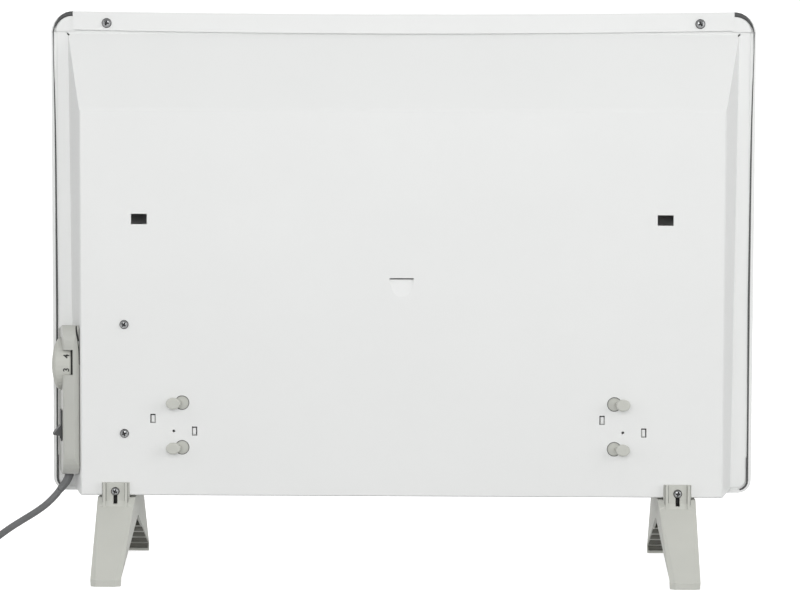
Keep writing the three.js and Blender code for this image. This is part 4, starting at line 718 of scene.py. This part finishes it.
SCREW_HEAD_HEIGHT = 2.1
SCREW_SHANK_RADIUS = 1.5
SCREW_SIDES = 40
# The dome of a pan head from its edge to its middle, in shares of its radius and of its height.
DOME = [(1, 0), (1, 0.16), (0.985, 0.34), (0.94, 0.52), (0.86, 0.68), (0.73, 0.82), (0.55, 0.92), (0.3, 0.98)]
# A bar of the cross, at its top and bottom: Y from the head's top, half length and half width in radii.
CROSS = [(0.5, 0.78, 0.23), (-1.5, 0.3, 0.14)]
# Faces of a head between these count as its cross: above this Y, within so many radii, below its top.
RECESS_LOW, RECESS_REACH, RECESS_DEEP = 0.3, 0.8, 1.2
# Angle of the cross in each head, in degrees.
SCREWS = {
    "rail_screw_right": 14,
    "rail_screw_left": 62,
    "housing_screw_upper": 38,
    "housing_screw_lower": 70,
    "foot_screw_right": 25,
    "foot_screw_left": 8,
}


def screw_mesh(radius, shank_length):
    """A screw along Y, with the underside of its head at Y 0."""
    profile = [(SCREW_SHANK_RADIUS, -shank_length), (SCREW_SHANK_RADIUS, 0)]
    profile += [(radius * r, SCREW_HEAD_HEIGHT * h) for r, h in DOME]
    verts, faces = [], []
    for r, y in profile:
        verts += [(x, y, z) for x, z in loop(0, 0, r, SCREW_SIDES)]
    for i in range(len(profile) - 1):
        for k in range(SCREW_SIDES):
            a, b = i * SCREW_SIDES + k, i * SCREW_SIDES + (k + 1) % SCREW_SIDES
            faces.append((a, b, b + SCREW_SIDES, a + SCREW_SIDES))
    # Its ends come last, unlike in loft: how the cross is cut depends on the order of the faces.
    last = len(verts) - SCREW_SIDES
    faces += [tuple(range(SCREW_SIDES)), tuple(range(last, last + SCREW_SIDES))]
    return mesh_of("screw", verts, faces)


def cross_wing(radius, turn):
    """One bar of the cross recess: it narrows towards its bottom."""
    rings = []
    for rise, long, wide in CROSS:
        outline = box_outline(-long * radius, long * radius, -wide * radius, wide * radius)
        y, cos, sin = SCREW_HEAD_HEIGHT + rise, math.cos(turn), math.sin(turn)
        rings.append([(x * cos - z * sin, y, x * sin + z * cos) for x, z in outline])
    return loft("wing", rings)


def in_recess(face, radius):
    """Whether a face of a cut head lies in its cross."""
    x, y, z = (c / MM for c in face.center)
    if y < RECESS_LOW or math.hypot(x, z) > RECESS_REACH * radius:
        return False
    return face.normal.y < 0.5 or y < SCREW_HEAD_HEIGHT - RECESS_DEEP


def make_screw(node, degrees):
    """A screw with a cross recess painted near-black as its shade, and a painted shadow ring at its seat, in
    place of the CAD's screw.
    """
    low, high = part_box(node)
    x, z = (low[0] + high[0]) / 2, (low[2] + high[2]) / 2
    radius = (high[0] - low[0]) / 2 / MM
    underside = high[1] - SCREW_HEAD_HEIGHT * MM
    head = bpy.data.objects.new("head", screw_mesh(radius, (underside - low[1]) / MM))
    scene.collection.objects.link(head)
    wings = []
    for quarter in (0, 1):
        turn = math.radians(degrees + 90 * quarter)
        wing = bpy.data.objects.new("wing", cross_wing(radius, turn))
        scene.collection.objects.link(wing)
        cutting = head.modifiers.new("cross", "BOOLEAN")
        cutting.operation = "DIFFERENCE"
        cutting.solver = "EXACT"
        cutting.object = wing
        wings.append(wing)
    mesh = applied(head)
    for spare in [head] + wings:
        bpy.data.objects.remove(spare)
    recessed = [in_recess(face, radius) for face in mesh.polygons]
    mesh.transform(Matrix.Translation((x, underside, z)))
    piece = make_piece(node + "_detail", mesh, screw_dark_reflection_look)
    mesh.materials.append(recess_shade_look)
    # The faces in the cross take the near-black: painted shade in the recess.
    for face, recess in zip(mesh.polygons, recessed):
        face.material_index = int(recess)
    sharpen(piece, 32)
    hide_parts(node)
    # A near-black ring round the head, painted as the shadow at its seat.
    ring = (loop(x / MM, z / MM, radius + more) for more in (0.35, -0.4))
    seat = underside / MM
    make_ring(f"{node}_seat", *ring, seat - 0.3, seat + 0.05, near_black_shade_look)


for screw, angle in SCREWS.items():
    make_screw(screw, angle)


# ------------------------------------------------------------------ numbers on the knob

KNOB_LOW, KNOB_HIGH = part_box("thermostat_knob")
KNOB_RADIUS = (KNOB_HIGH[2] - KNOB_LOW[2]) / 2
KNOB_AXIS = ((KNOB_LOW[1] + KNOB_HIGH[1]) / 2, (KNOB_LOW[2] + KNOB_HIGH[2]) / 2)
DIGIT_HEIGHT = 4.8 * MM
DIGIT_X = KNOB_LOW[0] + 3.4 * MM
DIGIT_STEP = math.radians(30)
DIGIT_FOUR = math.radians(20.9)
DIGIT_RAISE = 0.06 * MM
DIGIT_WEIGHT = 0.00017
# A digit's height in the font, as a share of the font's size.
FONT_SHARE = 0.7


def make_digit(number):
    """A printed digit, wrapped round the knob's rim with its top towards the dome."""
    curve = bpy.data.curves.new(f"digit_{number}", "FONT")
    curve.body = str(number)
    curve.align_x = "CENTER"
    curve.align_y = "CENTER"
    curve.size = DIGIT_HEIGHT / FONT_SHARE
    curve.offset = DIGIT_WEIGHT
    flat = bpy.data.objects.new("flat", curve)
    scene.collection.objects.link(flat)
    mesh = applied(flat)
    bpy.data.objects.remove(flat)
    middle = DIGIT_FOUR + (number - 4) * DIGIT_STEP
    reach = KNOB_RADIUS + DIGIT_RAISE
    for vertex in mesh.vertices:
        across, up, _ = vertex.co
        angle = middle + across / KNOB_RADIUS
        y, z = reach * math.cos(angle), reach * math.sin(angle)
        vertex.co = (DIGIT_X + up, KNOB_AXIS[0] + y, KNOB_AXIS[1] + z)
    make_piece(f"digit_{number}", mesh, ink_look, "knob")


for number in range(1, 10):
    make_digit(number)


# ------------------------------------------------------------------ floor and light

# In metres: the floor's near edge, where it starts to bend up, the bend, the wall's top and the half width.
FLOOR_NEAR, FLOOR_FAR, BEND_RADIUS, BEND_STEPS, WALL_TOP, FLOOR_HALF = 6, -2.2, 1.2, 12, 6, 9
FLOOR_TONE, FLOOR_GLOW = (0.5, 0.5, 0.5, 1), 0.85
ROOM_LIGHT = 0.62
# Each lamp's place, what it points at, its size and its power in watts.
LAMPS = {
    "key": ((0.1, 2.6, 0.9), (0, 0, 0.3), (1.8, 1.1), 23.5),
    "fill": ((-2, 1.3, 0.9), (0, 0, 0.25), (1.2, 1.4), 12),
    "side": ((2, 1.3, 0.9), (0, 0, 0.25), (1.2, 1.4), 4),
    "front": ((0.4, -2.3, 1.3), (0, 0, 0.25), (1.6, 1.4), 27),
}


def make_stage():
    """A floor that bends up into a wall. It glows only where the camera or a reflection sees it."""
    mesh = bpy.data.meshes.new("floor")
    work = bmesh.new()
    profile = [(FLOOR_NEAR, 0), (FLOOR_FAR, 0)]
    for i in range(1, BEND_STEPS + 1):
        angle = math.pi / 2 * i / BEND_STEPS
        back, up = BEND_RADIUS * math.sin(angle), BEND_RADIUS * math.cos(angle)
        profile.append((FLOOR_FAR - back, BEND_RADIUS - up))
    profile.append((FLOOR_FAR - BEND_RADIUS, WALL_TOP))
    rows = [[work.verts.new((x, y, z)) for x in (-FLOOR_HALF, FLOOR_HALF)] for y, z in profile]
    for a, b in zip(rows, rows[1:]):
        work.faces.new((a[0], a[1], b[1], b[0]))
    work.to_mesh(mesh)
    work.free()
    for face in mesh.polygons:
        face.use_smooth = True
    m = Nodes("floor")
    path = m.add("ShaderNodeLightPath")
    rays = {0: path.outputs["Is Camera Ray"], 1: path.outputs["Is Glossy Ray"]}
    seen = m.add("ShaderNodeMath", rays, operation="MAXIMUM")
    diffuse = m.add("ShaderNodeBsdfDiffuse", {"Color": FLOOR_TONE})
    glow = m.add("ShaderNodeEmission", {"Color": (1, 1, 1, 1), "Strength": FLOOR_GLOW})
    lit = m.add("ShaderNodeAddShader", {0: diffuse.outputs[0], 1: glow.outputs[0]})
    mix = m.add("ShaderNodeMixShader", {0: seen.outputs[0], 1: diffuse.outputs[0], 2: lit.outputs[0]})
    m.tree.links.new(mix.outputs[0], m.output.inputs[0])
    mesh.materials.append(m.material)
    floor = bpy.data.objects.new("floor", mesh)
    scene.collection.objects.link(floor)


def area_light(name, place, target, size, power):
    data = bpy.data.lights.new(name, "AREA")
    data.shape = "RECTANGLE"
    data.size, data.size_y = size
    data.energy = power
    light = bpy.data.objects.new(name, data)
    light.location = place
    light.rotation_euler = (Vector(target) - Vector(place)).to_track_quat("-Z", "Y").to_euler()
    scene.collection.objects.link(light)


make_stage()
world = bpy.data.worlds.new("room")
world.use_nodes = True
world.node_tree.nodes["Background"].inputs[0].default_value = (1, 1, 1, 1)
world.node_tree.nodes["Background"].inputs[1].default_value = ROOM_LIGHT
scene.world = world
for name, lamp in LAMPS.items():
    area_light(name, *lamp)
